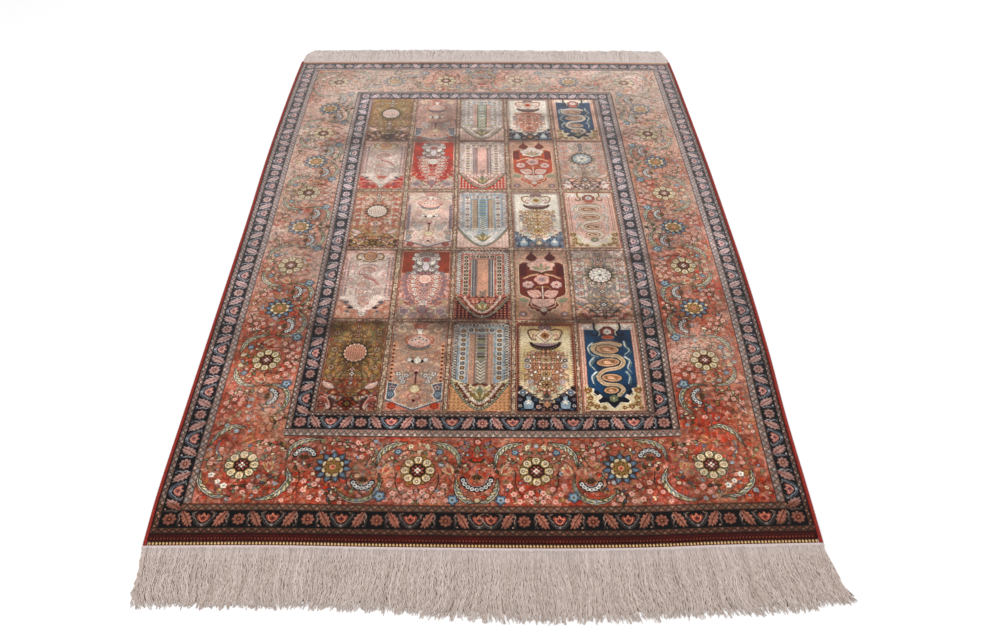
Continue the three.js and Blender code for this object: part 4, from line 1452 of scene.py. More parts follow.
# %% The rug's outline
SIDE_OUTLINE = np.array([
    # along, left, right
    (-946, 638, 637), (-830, 643, 640), (-640, 644, 644), (-440, 645, 653), (-200, 646, 658),
    (60, 647, 657), (330, 651, 654), (600, 650, 648), (850, 645, 641), (950, 641, 636),
], float)
END_OUTLINE = np.array([
    # across, near, far
    (-640, 941, 947), (-400, 941.5, 950.5), (-180, 946.5, 953), (120, 951, 953.5), (300, 950, 951),
    (440, 945, 949), (640, 941, 945),
], float)
FOLD_RIDGES = [
    # along, slope, width, height
    (-330, 0.05, 34, 1.1), (30, -0.04, 30, 0.9), (455, 0.03, 36, 1.2),
]
SELVEDGE_WIDTH, SELVEDGE_HEIGHT = 9.0, 5.0
CHAIN_WIDTH, CHAIN_HEIGHT = 8.4, 4.0
BACKING_WIDTH, BACKING_HEIGHT = 8.0, 2.6
PIECE_GAP = 0.3
PILE_TOP = 5.0
PILE_SUNK = 0.6  # how far the pile goes into its foundation
FOUNDATION_TOP = 2.2


def read(table, column, place):
    """Smooth interpolation: a cubic between neighbouring rows, whose slopes are those of the lines
    between the rows on either side."""
    key, value = table[:, 0], table[:, column]
    slope = np.empty(len(key))
    slope[1:-1] = (value[2:] - value[:-2]) / (key[2:] - key[:-2])
    slope[0] = (value[1] - value[0]) / (key[1] - key[0])
    slope[-1] = (value[-1] - value[-2]) / (key[-1] - key[-2])
    place = np.asarray(place, float)
    i = np.clip(np.searchsorted(key, place, side="right") - 1, 0, len(key) - 2)
    span = key[i + 1] - key[i]
    t = np.clip((place - key[i]) / span, 0, 1)
    ease = t * t * (3 - 2 * t)
    bend = t * (1 - t) * span * ((1 - t) * slope[i] - t * slope[i + 1])
    return value[i] + ease * (value[i + 1] - value[i]) + bend


def end_edge(end, x):
    """How far along the pile's edge lies at one end, which is -1 for near and 1 for far."""
    return end * read(END_OUTLINE, 1 if end < 0 else 2, x)


def side_edge(side, y):
    """How far across the rug's edge lies at one side, which is -1 for left and 1 for right."""
    return side * read(SIDE_OUTLINE, 1 if side < 0 else 2, y)


def end_span(end, inset):
    """The left and the right of a piece that lies across an end, in from the rug's sides."""
    y = end_edge(end, 0)
    return side_edge(-1, y) + inset, side_edge(1, y) - inset


def rug_plan(chart_x, chart_y):
    """Where a place of the chart lies on the rug, in millimetres."""
    u = (chart_x - WEST) / (EAST - WEST)
    v = (chart_y - SOUTH) / (NORTH - SOUTH)
    across = (2 * u - 1) * SIDE_OUTLINE[0, 1]
    near, far = end_edge(-1, across), end_edge(1, across)
    y = near + v * (far - near)
    left = side_edge(-1, y)
    return left + u * (side_edge(1, y) - left), y


def ridge(x, y):
    """Soft ridges where the rug was folded: a bell curve across each fold."""
    return sum(height * np.exp(-((y - along - slope * x) / width) ** 2) for along, slope, width,
               height in FOLD_RIDGES)


# %% [markdown]
# Every piece is a mesh built from arrays of points and faces at once. A pile, a strip and a mat are
# all slabs: a grid of points on top, whose rim goes straight down to a flat foot. So one helper
# closes them all, and a piece only has to say how its top runs.

# %% From arrays to a mesh
def build(name, points, *faces):
    """A mesh object from an array of points in millimetres and arrays of faces, each array with its
    own number of corners to a face."""
    mesh = bpy.data.meshes.new(name)
    corners_of = np.concatenate([group.ravel() for group in faces]).astype(np.int32)
    totals = np.concatenate([np.full(len(group), group.shape[1]) for group in faces]).astype(np.int32)
    starts = (np.cumsum(totals) - totals).astype(np.int32)
    mesh.vertices.add(len(points))
    mesh.vertices.foreach_set("co", (points * MM).astype(np.float32).ravel())
    mesh.loops.add(len(corners_of))
    mesh.loops.foreach_set("vertex_index", corners_of)
    mesh.polygons.add(len(totals))
    mesh.polygons.foreach_set("loop_start", starts)
    mesh.polygons.foreach_set("loop_total", totals)
    mesh.polygons.foreach_set("use_smooth", np.ones(len(totals), bool))
    mesh.update(calc_edges=True)
    obj = bpy.data.objects.new(name, mesh)
    bpy.context.collection.objects.link(obj)
    print(f"{name}: {(totals - 2).sum()} triangles")
    return obj


def grid_quads(rows, columns, first=0):
    """Faces of a grid of points, counter-clockwise as seen from above for x across and y along."""
    corner = (np.arange(rows - 1)[:, None] * columns + np.arange(columns - 1)).ravel() + first
    return np.stack([corner, corner + 1, corner + columns + 1, corner + columns], axis=1)


def rim_of(rows, columns):
    """The points round the edge of a grid, counter-clockwise."""
    index = np.arange(rows * columns).reshape(rows, columns)
    return np.concatenate([index[0, :-1], index[:-1, -1], index[-1, :0:-1], index[:0:-1, 0]])


def slab(name, top, floor=0.0):
    """A closed piece from its top, an array of rows, columns and places, and the height of its foot."""
    rows, columns = top.shape[:2]
    top = top.reshape(-1, 3)
    rim = rim_of(rows, columns)
    foot = top[rim] * (1, 1, 0) + (0, 0, floor)
    low = len(top) + np.arange(len(rim))
    walls = np.stack([low, np.roll(low, -1), np.roll(rim, -1), rim], axis=1)
    return build(name, np.concatenate([top, foot]), grid_quads(rows, columns), walls, low[None, ::-1])


def measured(obj, name, domain, values):
    """Keeps a number for each point or corner of a mesh."""
    layer = obj.data.attributes.new(name, "FLOAT", domain)
    layer.data.foreach_set("value", values.astype(np.float32))


def paint(obj, name, colours, domain="CORNER"):
    """Puts yarn colours, given as they look on a screen, on a mesh as a colour attribute. The
    attribute holds light, which is about the 2.2nd power of what a screen is sent."""
    layer = obj.data.color_attributes.new(name, "BYTE_COLOR", domain)
    values = np.ones((len(colours), 4), np.float32)
    values[:, :3] = np.clip(colours, 0, 1) ** 2.2
    layer.data.foreach_set("color", values.ravel())


# %% [markdown]
# The pile. Real knots stand a millimetre apart; a mesh that fine would be too heavy. The pile is a
# grid of cells of 2.8 mm instead, and each cell holds two yarn colours parted by a straight edge,
# which keeps the outlines crisp. The two colours are the means of the chart's squares on either side
# of the cell's own main direction of change; the edge is the plane that best fits which square is on
# which side. Closed pieces butt against each other, so that none is too heavy.

# %% Two colours to a cell
def two_yarns(squares):
    """squares is (cells, 9, 3), the chart's squares in reading order. Returns the two colours of each
    cell, and for its four corners how far they lie on the second one's side."""
    mean = squares.mean(axis=1, keepdims=True)
    off = squares - mean
    spread = np.einsum("nki,nkj->nij", off, off)
    axis = np.ones((len(squares), 3)) + spread.diagonal(axis1=1, axis2=2)
    for _ in range(6):  # the main direction, by repeated multiplication
        axis = np.einsum("nij,nj->ni", spread, axis) + 1e-12
        axis /= np.linalg.norm(axis, axis=1, keepdims=True)
    side = np.einsum("nki,ni->nk", off, axis) > 0
    share = side.sum(axis=1)
    second = (squares * side[..., None]).sum(axis=1) / np.maximum(share, 1)[:, None]
    first = (squares * ~side[..., None]).sum(axis=1) / np.maximum(9 - share, 1)[:, None]
    across = np.tile([-1.0, 0.0, 1.0], 3)
    along = np.repeat([-1.0, 0.0, 1.0], 3)
    sign = np.where(side, 1.0, -1.0)
    middle, slope_x, slope_y = sign.mean(axis=1), sign @ across / 6, sign @ along / 6
    fit = middle[:, None] + slope_x[:, None] * across + slope_y[:, None] * along
    agreed = ((fit > 0) == side).mean(axis=1)
    even = (agreed < 0.78) | (np.linalg.norm(second - first, axis=1) < 0.05)
    first[even] = second[even] = mean[even, 0]
    reach = 1.5  # a cell's corners lie one and a half squares from its middle
    edge = [middle + reach * (right * slope_x + up * slope_y)
            for right, up in ((-1, -1), (1, -1), (1, 1), (-1, 1))]
    return first, second, np.stack(edge, axis=1)


def chart_squares(x0, y0, columns, rows):
    """The squares of the chart under a block of cells, as (cells, 9, 3)."""
    i = round((x0 - WEST) / chart.step)
    j = round((y0 - SOUTH) / chart.step)
    n = CELL_SAMPLES
    part = chart.colour[j:j + rows * n, i:i + columns * n]
    part = part.reshape(rows, n, columns, n, 3).transpose(0, 2, 1, 3, 4)
    return part.reshape(rows * columns, n * n, 3).astype(np.float64)


def knotted(name, west, south, east, north):
    """One block of pile between four lines of the chart's cells."""
    columns = round((east - west) / PILE_PITCH)
    rows = round((north - south) / PILE_PITCH)
    gx, gy = np.meshgrid(west + PILE_PITCH * np.arange(columns + 1),
                         south + PILE_PITCH * np.arange(rows + 1))
    x, y = rug_plan(gx, gy)
    obj = slab(name, np.stack([x, y, PILE_TOP + ridge(x, y)], axis=-1), FOUNDATION_TOP - PILE_SUNK)
    first, second, edge = two_yarns(chart_squares(west, south, columns, rows))
    rest = len(obj.data.loops) - 4 * rows * columns  # the corners of the walls and the foot
    plain = np.tile(YARN["garnet"], (rest, 1))
    paint(obj, "yarn_a", np.concatenate([np.repeat(first, 4, axis=0), plain]))
    paint(obj, "yarn_b", np.concatenate([np.repeat(second, 4, axis=0), plain]))
    measured(obj, "yarn_edge", "CORNER", np.concatenate([edge.ravel(), np.zeros(rest)]))
    return obj


def snapped(value, start):
    """The nearest line between cells."""
    return start + PILE_PITCH * round((value - start) / PILE_PITCH)


def snapped_corners(band):
    """The corners of a band, moved to the nearest lines between cells."""
    (west, south), (east, north) = corners(band)
    return snapped(west, WEST), snapped(south, SOUTH), snapped(east, WEST), snapped(north, SOUTH)


pile_west, pile_south, pile_east, pile_north = snapped_corners("end_red")
field_west, field_south, field_east, field_north = snapped_corners("field")
field_middle = snapped((field_south + field_north) / 2, SOUTH)
PILE_BLOCKS = {
    "pile_border_near": (pile_west, pile_south, pile_east, field_south),
    "pile_border_far": (pile_west, field_north, pile_east, pile_north),
    "pile_border_left": (pile_west, field_south, field_west, field_north),
    "pile_border_right": (field_east, field_south, pile_east, field_north),
    "pile_field_near": (field_west, field_south, field_east, field_middle),
    "pile_field_far": (field_west, field_middle, field_east, field_north),
}
pile = [knotted(name, *block) for name, block in PILE_BLOCKS.items()]

# %% [markdown]
# The foundation is the flat web of warps and wefts that the knots are tied on. From below it shows
# the pattern again, paler and in steps, because every knot's back shows there.

# %% Foundation
WEB_PITCH = 12.0
web_columns = round((pile_east - pile_west) / WEB_PITCH) + 1
web_rows = round((pile_north - pile_south) / WEB_PITCH) + 1
web_x, web_y = np.meshgrid(np.linspace(pile_west, pile_east, web_columns),
                           np.linspace(pile_south, pile_north, web_rows))
x, y = rug_plan(web_x, web_y)
web_low = np.stack([x, y, np.zeros_like(x)], axis=-1).reshape(-1, 3)
web_high = web_low + (0, 0, FOUNDATION_TOP)
rim = rim_of(web_rows, web_columns)
upper = rim + len(web_low)
quads = grid_quads(web_rows, web_columns)
foundation = build(
    "rug_foundation", np.concatenate([web_low, web_high]),
    quads[:, ::-1], quads + len(web_low),
    np.stack([rim, np.roll(rim, -1), np.roll(upper, -1), upper], axis=1),
)
i = np.clip(((web_x - WEST) / chart.step).astype(int), 4, chart.size[1] - 5)
j = np.clip(((web_y - SOUTH) / chart.step).astype(int), 4, chart.size[0] - 5)
web_colour = np.mean([chart.colour[j + dj, i + di] for dj in (-3, 0, 3) for di in (-3, 0, 3)], axis=0)
web_colour = web_colour.reshape(-1, 3) * 0.75 + 0.17
paint(foundation, "web", np.concatenate([web_colour, web_colour]), "POINT")

# %% [markdown]
# Along each side the outermost warps are overcast with red yarn, which makes a cord. Its section is a
# flattened ring, and the wraps are ripples that run round it at a slant: the radius swells with the
# sine of the angle round the cord plus the distance along it. It lies on the floor.

# %% Overcast side cords
WRAP_PITCH = 5.2
WRAP_SWELL = 0.10


def tubes(name, rings, flip=False):
    """One mesh of many closed tubes, from an array of tubes, rings, points of a ring and places."""
    count, stations, sides = rings.shape[:3]
    first = np.arange(count)[:, None, None] * stations * sides
    corner = np.arange(stations - 1)[:, None] * sides + np.arange(sides)
    after = np.arange(stations - 1)[:, None] * sides + np.roll(np.arange(sides), -1)
    walls = np.stack([corner, after, after + sides, corner + sides], axis=-1).reshape(1, -1, 4)
    caps = np.stack([np.arange(sides)[::-1], np.arange(sides) + (stations - 1) * sides])[None]
    walls, caps = (walls + first).reshape(-1, 4), (caps + first).reshape(-1, sides)
    if flip:
        walls, caps = walls[:, ::-1], caps[:, ::-1]
    return build(name, rings.reshape(-1, 3), walls, caps)


def side_cord(name, side):
    """A cord along one side, -1 for the left and 1 for the right."""
    corner_x = side * SIDE_OUTLINE[0, 1]
    start, end = end_edge(-1, corner_x), end_edge(1, corner_x)
    y = np.linspace(start, end, round((end - start) / (WRAP_PITCH / 4)))[:, None]
    turn = np.linspace(0, 2 * np.pi, 8, endpoint=False)[None, :] + 0.2
    swell = 1 - WRAP_SWELL + WRAP_SWELL * np.cos(turn * side + 2 * np.pi * y / WRAP_PITCH)
    x = side_edge(side, y) - side * SELVEDGE_WIDTH / 2 + swell * np.cos(turn) * SELVEDGE_WIDTH / 2
    z = SELVEDGE_HEIGHT / 2 + swell * np.sin(turn) * SELVEDGE_HEIGHT / 2
    z = np.maximum(z, 0.12 * np.sin(turn) + 0.12)
    points = np.stack([x, y + 0 * turn, z], axis=-1)
    return tubes(name, points[None, :, ::-1])


cords = [side_cord("side_cord_left", -1), side_cord("side_cord_right", 1)]

# %% [markdown]
# Across each end runs a row of stitches in golden yarn that keeps the wefts from working loose. Each
# stitch is a fat bead with a dark gap beside it. One bead is an egg shape of few faces; it is laid
# down along the whole end by adding its points to every stitch's place.

# %% Chain stitches
STITCH_PITCH = 6.4
STITCH_WIDTH = 4.4
STITCH_REACH = 0.78 * CHAIN_WIDTH


def stitch_row(name, end):
    """A row of stitches across one end, -1 for the near and 1 for the far one."""
    first, last = end_span(end, SELVEDGE_WIDTH + PIECE_GAP)
    count = round((last - first) / STITCH_PITCH)
    places = first + (np.arange(count) + 0.5) * (last - first) / count
    t = np.linspace(0.04, 0.96, 6)[:, None]
    turn = np.linspace(0, 2 * np.pi, 8, endpoint=False)[None, :]
    fat = np.sin(np.pi * t) ** 0.6
    x = STITCH_WIDTH / 2 * fat * np.cos(turn) + 0.5 * (t - 0.5)
    y = end * (-STITCH_REACH + (STITCH_REACH - 0.3) * t) + 0 * turn
    z = CHAIN_HEIGHT / 2 + fat * np.sin(turn) * (CHAIN_HEIGHT / 2 - 0.05)
    points = np.tile(np.stack([x, y, z], axis=-1), (count, 1, 1, 1))
    points[..., 0] += places[:, None, None]
    points[..., 1] += end_edge(end, points[..., 0])
    return tubes(name, points, end > 0)


stitches = [stitch_row("chain_stitches_near", -1), stitch_row("chain_stitches_far", 1)]


# %% [markdown]
# The stitches lie on a bed of dark weft, and the fringe grows from a few millimetres of bare web.
# Both are flat strips across an end that follow the pile's edge, so one helper makes all four.

# %% Strips across the ends
STRIP_STATIONS = 260


def end_strip(name, end, inner, outer, height, inset=0.0):
    """A flat strip with a crowned top along an end, between two distances from the pile's edge: across
    it the height falls as the square of the way from its middle."""
    out = np.linspace(inner, outer, 6)
    x, out = np.meshgrid(np.linspace(*end_span(end, inset), STRIP_STATIONS), out[::end])
    crown = 1 - 0.35 * (2 * (out - inner) / (outer - inner) - 1) ** 2
    return slab(name, np.stack([x, end_edge(end, x) + end * out, height * crown], axis=-1))


BED_HEIGHT = 1.3
beds = [
    end_strip(name, end, 0.4 - CHAIN_WIDTH, -0.4, BED_HEIGHT, SELVEDGE_WIDTH + PIECE_GAP)
    for name, end in (("chain_bed_near", -1), ("chain_bed_far", 1))
]

# %% [markdown]
# The fringe is the warp itself, left long and combed out. Hundreds of crimped yarns lie side by side
# and over each other. Every yarn is a three-sided tube along its own path: it starts in the edge of
# the web, drifts to one side as its neighbours do, and waves with a crimp of its own. The frame's
# fringe gives how long it is and where its tips drift.

# %% Fringe
NEAR_REACH = np.array([
    # across, length, drift
    (-640, 121, 18), (-480, 124, 8), (-250, 124, -3), (-60, 137, -8), (120, 144, 6), (350, 139, 12),
    (540, 134, 20), (640, 118, 30),
], float)
FAR_REACH = np.array([
    # across, length, drift
    (-640, 88, 30), (-430, 90, -4), (-100, 89, 5), (200, 86, -6), (450, 90, 3), (640, 89, -22),
], float)
LOCK_WIDTH = 9.0
YARN_RADIUS = 1.25
FRINGE_TOP = 4.3
FRINGE_START = PIECE_GAP + BACKING_WIDTH - 3.0  # the yarns start inside the bare web
WAVE_SIZE = 5.0
WAVE_SPAN = 210.0


def drifted(end, x, drift, t):
    """Where a yarn that starts at x lies across the rug at a share t of its length: its drift grows as
    the square of t, and a sine that neighbours share sways it."""
    return x + drift * t * t + WAVE_SIZE * t * np.sin(x / WAVE_SPAN * 2 * np.pi + end + t * np.pi * 2.2)


def fringe(name, end, reach, count, stations, seed):
    """All yarns of one end as arrays of (yarns, stations): a path for each, then three points round
    it. The yarns of a lock lean together, and each has a crimp, a length and a height of its own."""
    draw = np.random.default_rng(seed)
    left, right_end = end_span(end, 2)
    order = (np.arange(count) + draw.uniform(0, 1, count)) / count
    x0 = left + (right_end - left) * order
    lock = np.floor(x0 / LOCK_WIDTH).astype(int)
    lock -= lock.min()
    lean = draw.normal(0, 1.3, lock.max() + 1)[lock]
    short = draw.normal(0, 0.016, lock.max() + 1)[lock]
    length = read(reach, 1, x0) * (0.985 + short + draw.normal(0, 0.03, count))
    length = np.minimum(length, read(reach, 1, x0) * 1.05)
    drift = read(reach, 2, x0)
    crimp = draw.uniform(1.2, 3.0, count)
    crimp_span = draw.uniform(20, 30, count)
    phase = draw.uniform(0, 2 * np.pi, count)
    layer = draw.uniform(0, 1, count)
    t = np.linspace(0, 1, stations)[None, :]
    grow = np.clip(t * 3, 0, 1)
    x = drifted(end, x0[:, None], (drift + lean)[:, None], t)
    x = x + grow * crimp[:, None] * np.sin(phase[:, None] + 2 * np.pi * t * (length / crimp_span)[:, None])
    x = x + draw.normal(0, 3.4, count)[:, None] * t * np.sin(np.pi * t + phase[:, None])
    away = FRINGE_START + (length[:, None] - FRINGE_START) * t
    y = end_edge(end, x0)[:, None] + end * away
    low = YARN_RADIUS * 0.8
    z = low + layer[:, None] * (FRINGE_TOP - 2 * low) * (0.62 + 0.38 * np.sin(phase[:, None] * 3 + 5 * t))
    z = z * (1 - 0.35 * t ** 3) + 0.35 * t ** 3 * low
    path = np.stack([x, y, z], axis=-1)
    step = np.gradient(path, axis=1)
    across = np.stack([step[..., 1], -step[..., 0], 0 * x], axis=-1)
    across /= np.linalg.norm(across, axis=-1, keepdims=True)
    radius = YARN_RADIUS * (1 - 0.35 * t ** 4) * draw.uniform(0.75, 1.1, count)[:, None]
    turn = (np.pi / 2 + np.arange(3) * 2 * np.pi / 3)[None, None, :] + 0.9 * np.sin(phase)[:, None, None]
    spoke = np.cos(turn)[..., None] * across[:, :, None] + np.sin(turn)[..., None] * np.array([0, 0, 1.0])
    ring = path[:, :, None] + radius[..., None, None] * spoke
    ring[..., 2] = np.maximum(ring[..., 2], 0.0)
    obj = tubes(name, ring, True)
    tone = np.clip(draw.normal(0.5, 0.2, count), 0, 1)
    measured(obj, "yarn_tone", "POINT", np.repeat(tone, stations * 3))
    measured(obj, "yarn_along", "POINT", np.broadcast_to(t[:, :, None], (count, stations, 3)).ravel())
    return obj


fringes = [
    fringe("fringe_yarns_near", -1, NEAR_REACH, 1440, 13, 41),
    fringe("fringe_yarns_far", 1, FAR_REACH, 1080, 9, 43),
]


# %% [markdown]
# Between the stitches and the fringe the warps are still bare cloth, so the roots of the yarns are
# not seen to start in the air. It is the second use of the strip above.

# %% The bare web that the fringe grows from
webs = [
    end_strip(name, end, PIECE_GAP, PIECE_GAP + BACKING_WIDTH, BACKING_HEIGHT)
    for name, end in (("bare_web_near", -1), ("bare_web_far", 1))
]

# %% [markdown]
# Combed yarns lie so thick that no floor shows through. Modelling every one would be wasteful, so
# the lowest are one thin mat, rippled along its length as the yarns over it are, with a ragged end.

# %% The lowest yarns of the fringe
MAT_STATIONS = 420


def under_mat(name, end, reach, seed):
    """A closed sheet: its height is a sine of the way across, and its end follows the yarns' lengths,
    shorter by a random part."""
    draw = np.random.default_rng(seed)
    x0 = np.linspace(*end_span(end, 3), MAT_STATIONS)
    t = np.linspace(0, 1, 7)[:, None]
    length = read(reach, 1, x0) - 9 - 6 * draw.random(MAT_STATIONS)
    x = drifted(end, x0, read(reach, 2, x0), t)
    y = end_edge(end, x0) + end * (FRINGE_START + (length - FRINGE_START) * t)
    z = 1.1 + 0.5 * np.sin(x0 * 1.7 + 3 * t) * (1 - 0.6 * t)
    return slab(name, np.stack([x, y, z], axis=-1)[::end])


mats = [under_mat("fringe_mat_near", -1, NEAR_REACH, 7), under_mat("fringe_mat_far", 1, FAR_REACH, 8)]

# %% [markdown]
# Materials. Each is a small tree of nodes that ends in the Principled shader. A helper makes a node,
# sets its plain inputs and joins the others, so that a tree reads from the pattern to the shader.

# %% Node helpers
class Finish:
    """A material and the means to add nodes to it."""

    def __init__(self, name, roughness, sheen=0.0, sheen_roughness=0.4, specular=0.3):
        self.material = bpy.data.materials.new(name)
        self.material.use_nodes = True
        self.tree = self.material.node_tree
        self.shader = self.tree.nodes["Principled BSDF"]
        self.shader.inputs["Roughness"].default_value = roughness
        self.shader.inputs["Sheen Weight"].default_value = sheen
        self.shader.inputs["Sheen Roughness"].default_value = sheen_roughness
        self.shader.inputs["Specular IOR Level"].default_value = specular

    def node(self, kind, inputs=(), output=0, **settings):
        """A node; inputs is a list of (socket, value or output). Returns one of its outputs."""
        made = self.tree.nodes.new("ShaderNode" + kind)
        for key, value in settings.items():
            setattr(made, key, value)
        for socket, value in inputs:
            if isinstance(value, bpy.types.NodeSocket):
                self.tree.links.new(value, made.inputs[socket])
            else:
                made.inputs[socket].default_value = value
        return made.outputs[output]

    def attribute(self, name, output="Color"):
        """What a mesh keeps under a name."""
        return self.node("Attribute", output=output, attribute_name=name)

    def place(self, scale=(1, 1, 1), move=(0, 0, 0)):
        """Object coordinates, scaled and moved."""
        where = self.node("TexCoord", output="Object")
        return self.node("Mapping", [("Vector", where), ("Scale", scale), ("Location", move)])

    def noise(self, vector, scale, detail=3.0, roughness=0.55):
        """Clouds from 0 to 1."""
        return self.node("TexNoise",
                         [("Vector", vector), ("Scale", scale), ("Detail", detail),
                          ("Roughness", roughness)])

    def ramp(self, value, low, high, to_low=0.0, to_high=1.0):
        """A value between two limits, carried over to two others."""
        return self.node("MapRange",
                         [("Value", value), ("From Min", low), ("From Max", high), ("To Min", to_low),
                          ("To Max", to_high)])

    def math(self, operation, a, b=0.0):
        """One operation on numbers."""
        return self.node("Math", [(0, a), (1, b)], operation=operation)

    def mix(self, share, a, b, blend="MIX"):
        """Colour a where the share is 0, and b where it is 1."""
        return self.node("Mix", [(0, share), (6, a), (7, b)], 2, data_type="RGBA", blend_type=blend)

    def times(self, a, b):
        """One colour multiplied by another."""
        return self.mix(1.0, a, b, "MULTIPLY")

    def grey(self, value):
        """A number as a colour of three equal parts."""
        return self.node("CombineColor", [("Red", value), ("Green", value), ("Blue", value)])

    def split(self, vector, output):
        """One part of a vector: 0 for X, 1 for Y."""
        return self.node("SeparateXYZ", [("Vector", vector)], output)

    def bump(self, height, distance, strength=1.0):
        """Tilts the surface as if it were raised by a height times a distance in metres."""
        raised = self.node("Bump", [("Height", height), ("Distance", distance), ("Strength", strength)])
        self.tree.links.new(raised, self.shader.inputs["Normal"])

    def colour(self, value):
        """The colour that the shader takes."""
        self.tree.links.new(value, self.shader.inputs["Base Color"])

    def wear(self, *objs):
        """Puts the finish on objects."""
        for obj in objs:
            obj.data.materials.clear()
            obj.data.materials.append(self.material)


def light(red, green, blue):
    """A colour as seen on a screen, turned to light for a shader."""
    return (red ** 2.2, green ** 2.2, blue ** 2.2, 1.0)


# %% [markdown]
# Silk pile. The chart gives the yarn; the rest is how silk behaves. Dye lots differ in faint bands
# across the rug, the pile leans unevenly and so painted shade and sheen make it darker or paler in
# clouds, and towards the far end it leans towards the eye and painted sheen turns it pale. Where the
# rug was folded the pile is crushed, and painted shade makes it dark; the near end is painted deeper.

# %% Silk pile
# Where painted shade falls: bands along the folds, and spots where the pile is crushed.
FOLD_CREASE_SHADE = [
    # along in metres, slope, width, depth
    (-0.345, 0.05, 0.08, 0.9), (-0.09, -0.04, 0.055, 0.65), (0.03, -0.04, 0.06, 0.35),
    (0.455, 0.03, 0.09, 0.7), (0.58, 0.05, 0.06, 0.55),
]
CRUSHED_SHADE_SPOTS = [
    # across and along in metres, radius, depth
    (-0.30, -0.56, 0.11, 0.6), (-0.40, -0.37, 0.09, 0.95), (0.30, -0.36, 0.10, 0.7),
    (0.37, -0.09, 0.12, 0.8), (-0.47, -0.1, 0.12, 0.8), (-0.25, 0.47, 0.13, 0.9),
    (-0.12, 0.55, 0.12, 0.9), (0.44, 0.42, 0.10, 0.7), (0.50, -0.02, 0.10, 0.8),
]
silk = Finish("silk pile", roughness=0.62, sheen=0.08, sheen_roughness=0.3, specular=0.12)
side_of = silk.ramp(silk.attribute("yarn_edge", "Fac"), -0.16, 0.16)
yarn = silk.mix(side_of, silk.attribute("yarn_a"), silk.attribute("yarn_b"))
where = silk.place()
# Painted shade and sheen: the tone swings darker and paler in large and small clouds, as the leaning pile
# takes the light; dye lots add faint bands across the rug, and a fine grain runs through it.
clouds = silk.noise(where, 5.0, 4.0, 0.6)
small_clouds = silk.noise(where, 60.0, 3.0, 0.6)
dye_lots = silk.noise(silk.place(scale=(0.7, 9.0, 1.0)), 3.0, 2.0)
fleck_noise = silk.noise(where, 240.0, 2.0, 0.7)
tone = silk.ramp(clouds, 0.3, 0.7, -0.10, 0.10)
tone = silk.math("ADD", tone, silk.ramp(small_clouds, 0.25, 0.75, -0.12, 0.12))
tone = silk.math("ADD", tone, silk.ramp(dye_lots, 0.3, 0.7, -0.06, 0.06))
tone = silk.math("ADD", tone, silk.ramp(fleck_noise, 0.25, 0.75, -0.36, 0.30))
tone = silk.math("ADD", tone, 1.0)
yarn = silk.times(yarn, silk.grey(tone))
# Painted shade: the yarn is darkened towards brown along the folds and in the crushed spots, broken up by a
# noise and weaker towards the sides.
crushed_shade_noise = silk.noise(silk.place(scale=(1.0, 1.7, 1.0)), 9.0, 4.0, 0.62)
crushed_pile_shade = None
for along, slope, width, depth in FOLD_CREASE_SHADE:
    off = silk.math("SUBTRACT", silk.split(where, 1), silk.math("MULTIPLY", silk.split(where, 0), slope))
    fold_shade = silk.ramp(silk.math("ABSOLUTE", silk.math("SUBTRACT", off, along)), 0.0, width, depth, 0.0)
    crushed_pile_shade = fold_shade if crushed_pile_shade is None else silk.math("MAXIMUM", crushed_pile_shade, fold_shade)
for x, y, radius, depth in CRUSHED_SHADE_SPOTS:
    away = silk.node("VectorMath", [(0, where), (1, (x, y, 0.005))], 1, operation="DISTANCE")
    crushed_pile_shade = silk.math("MAXIMUM", crushed_pile_shade, silk.ramp(away, 0.0, radius, depth, 0.0))
middle = silk.ramp(silk.math("ABSOLUTE", silk.split(where, 0)), 0.3, 0.6, 1.0, 0.35)
crushed_pile_shade = silk.math("MULTIPLY", crushed_pile_shade, silk.ramp(crushed_shade_noise, 0.36, 0.58))
crushed_pile_shade = silk.math("MULTIPLY", crushed_pile_shade, middle)
yarn = silk.mix(crushed_pile_shade, yarn, silk.times(yarn, light(0.46, 0.36, 0.31)))
# Painted sheen: towards the far end the yarn goes over to a pale tint, and in clouds of patches it is made
# brighter.
far_sheen_share = silk.ramp(silk.split(where, 1), -0.6, 0.9, 0.0, 0.13)
far_sheen_share = silk.math("MULTIPLY", far_sheen_share, silk.ramp(clouds, 0.3, 0.7, 0.75, 1.25))
sheen_patches = silk.noise(silk.place(scale=(1.0, 0.7, 1.0), move=(3.0, 1.0, 0.0)), 9.0, 4.0, 0.62)
shine = silk.times(yarn, (1.36, 1.31, 1.33, 1.0))
yarn = silk.mix(silk.ramp(sheen_patches, 0.46, 0.68), yarn, shine)
yarn = silk.mix(far_sheen_share, yarn, light(0.82, 0.77, 0.75))
# Painted shade: towards the near end the yarn is deepened, its darks more than its lights.
painted_near_shade = silk.times(silk.times(yarn, yarn), (1.2, 1.2, 1.2, 1.0))
yarn = silk.mix(silk.ramp(silk.split(where, 1), -0.75, 0.1, 0.42, 0.1), yarn, painted_near_shade)
silk.colour(yarn)
wave_inputs = [("Vector", where), ("Scale", 180.0), ("Distortion", 2.0), ("Detail", 1.0)]
rows_of_knots = silk.node("TexWave", wave_inputs, 1, bands_direction="Y")
knots = silk.math("ADD", rows_of_knots, silk.noise(where, 700.0, 1.0))
silk.bump(knots, 0.0005, 0.5)
silk.wear(*pile)

# %% [markdown]
# The web is seen from below only. Each knot's back is a little bump, so small cells of a noise give
# both the bumps and a faint change of tone over the pattern that the web already carries.

# %% Web seen from below
web_finish = Finish("web back", roughness=0.85, specular=0.2)
where = web_finish.place()
backs = web_finish.node("TexVoronoi", [("Vector", where), ("Scale", 420.0)])
web_tone = web_finish.ramp(backs, 0.0, 0.9, 1.05, 0.8)
web_finish.colour(web_finish.times(web_finish.attribute("web"), web_finish.grey(web_tone)))
web_finish.bump(backs, 0.0004, 0.6)
web_finish.wear(foundation)

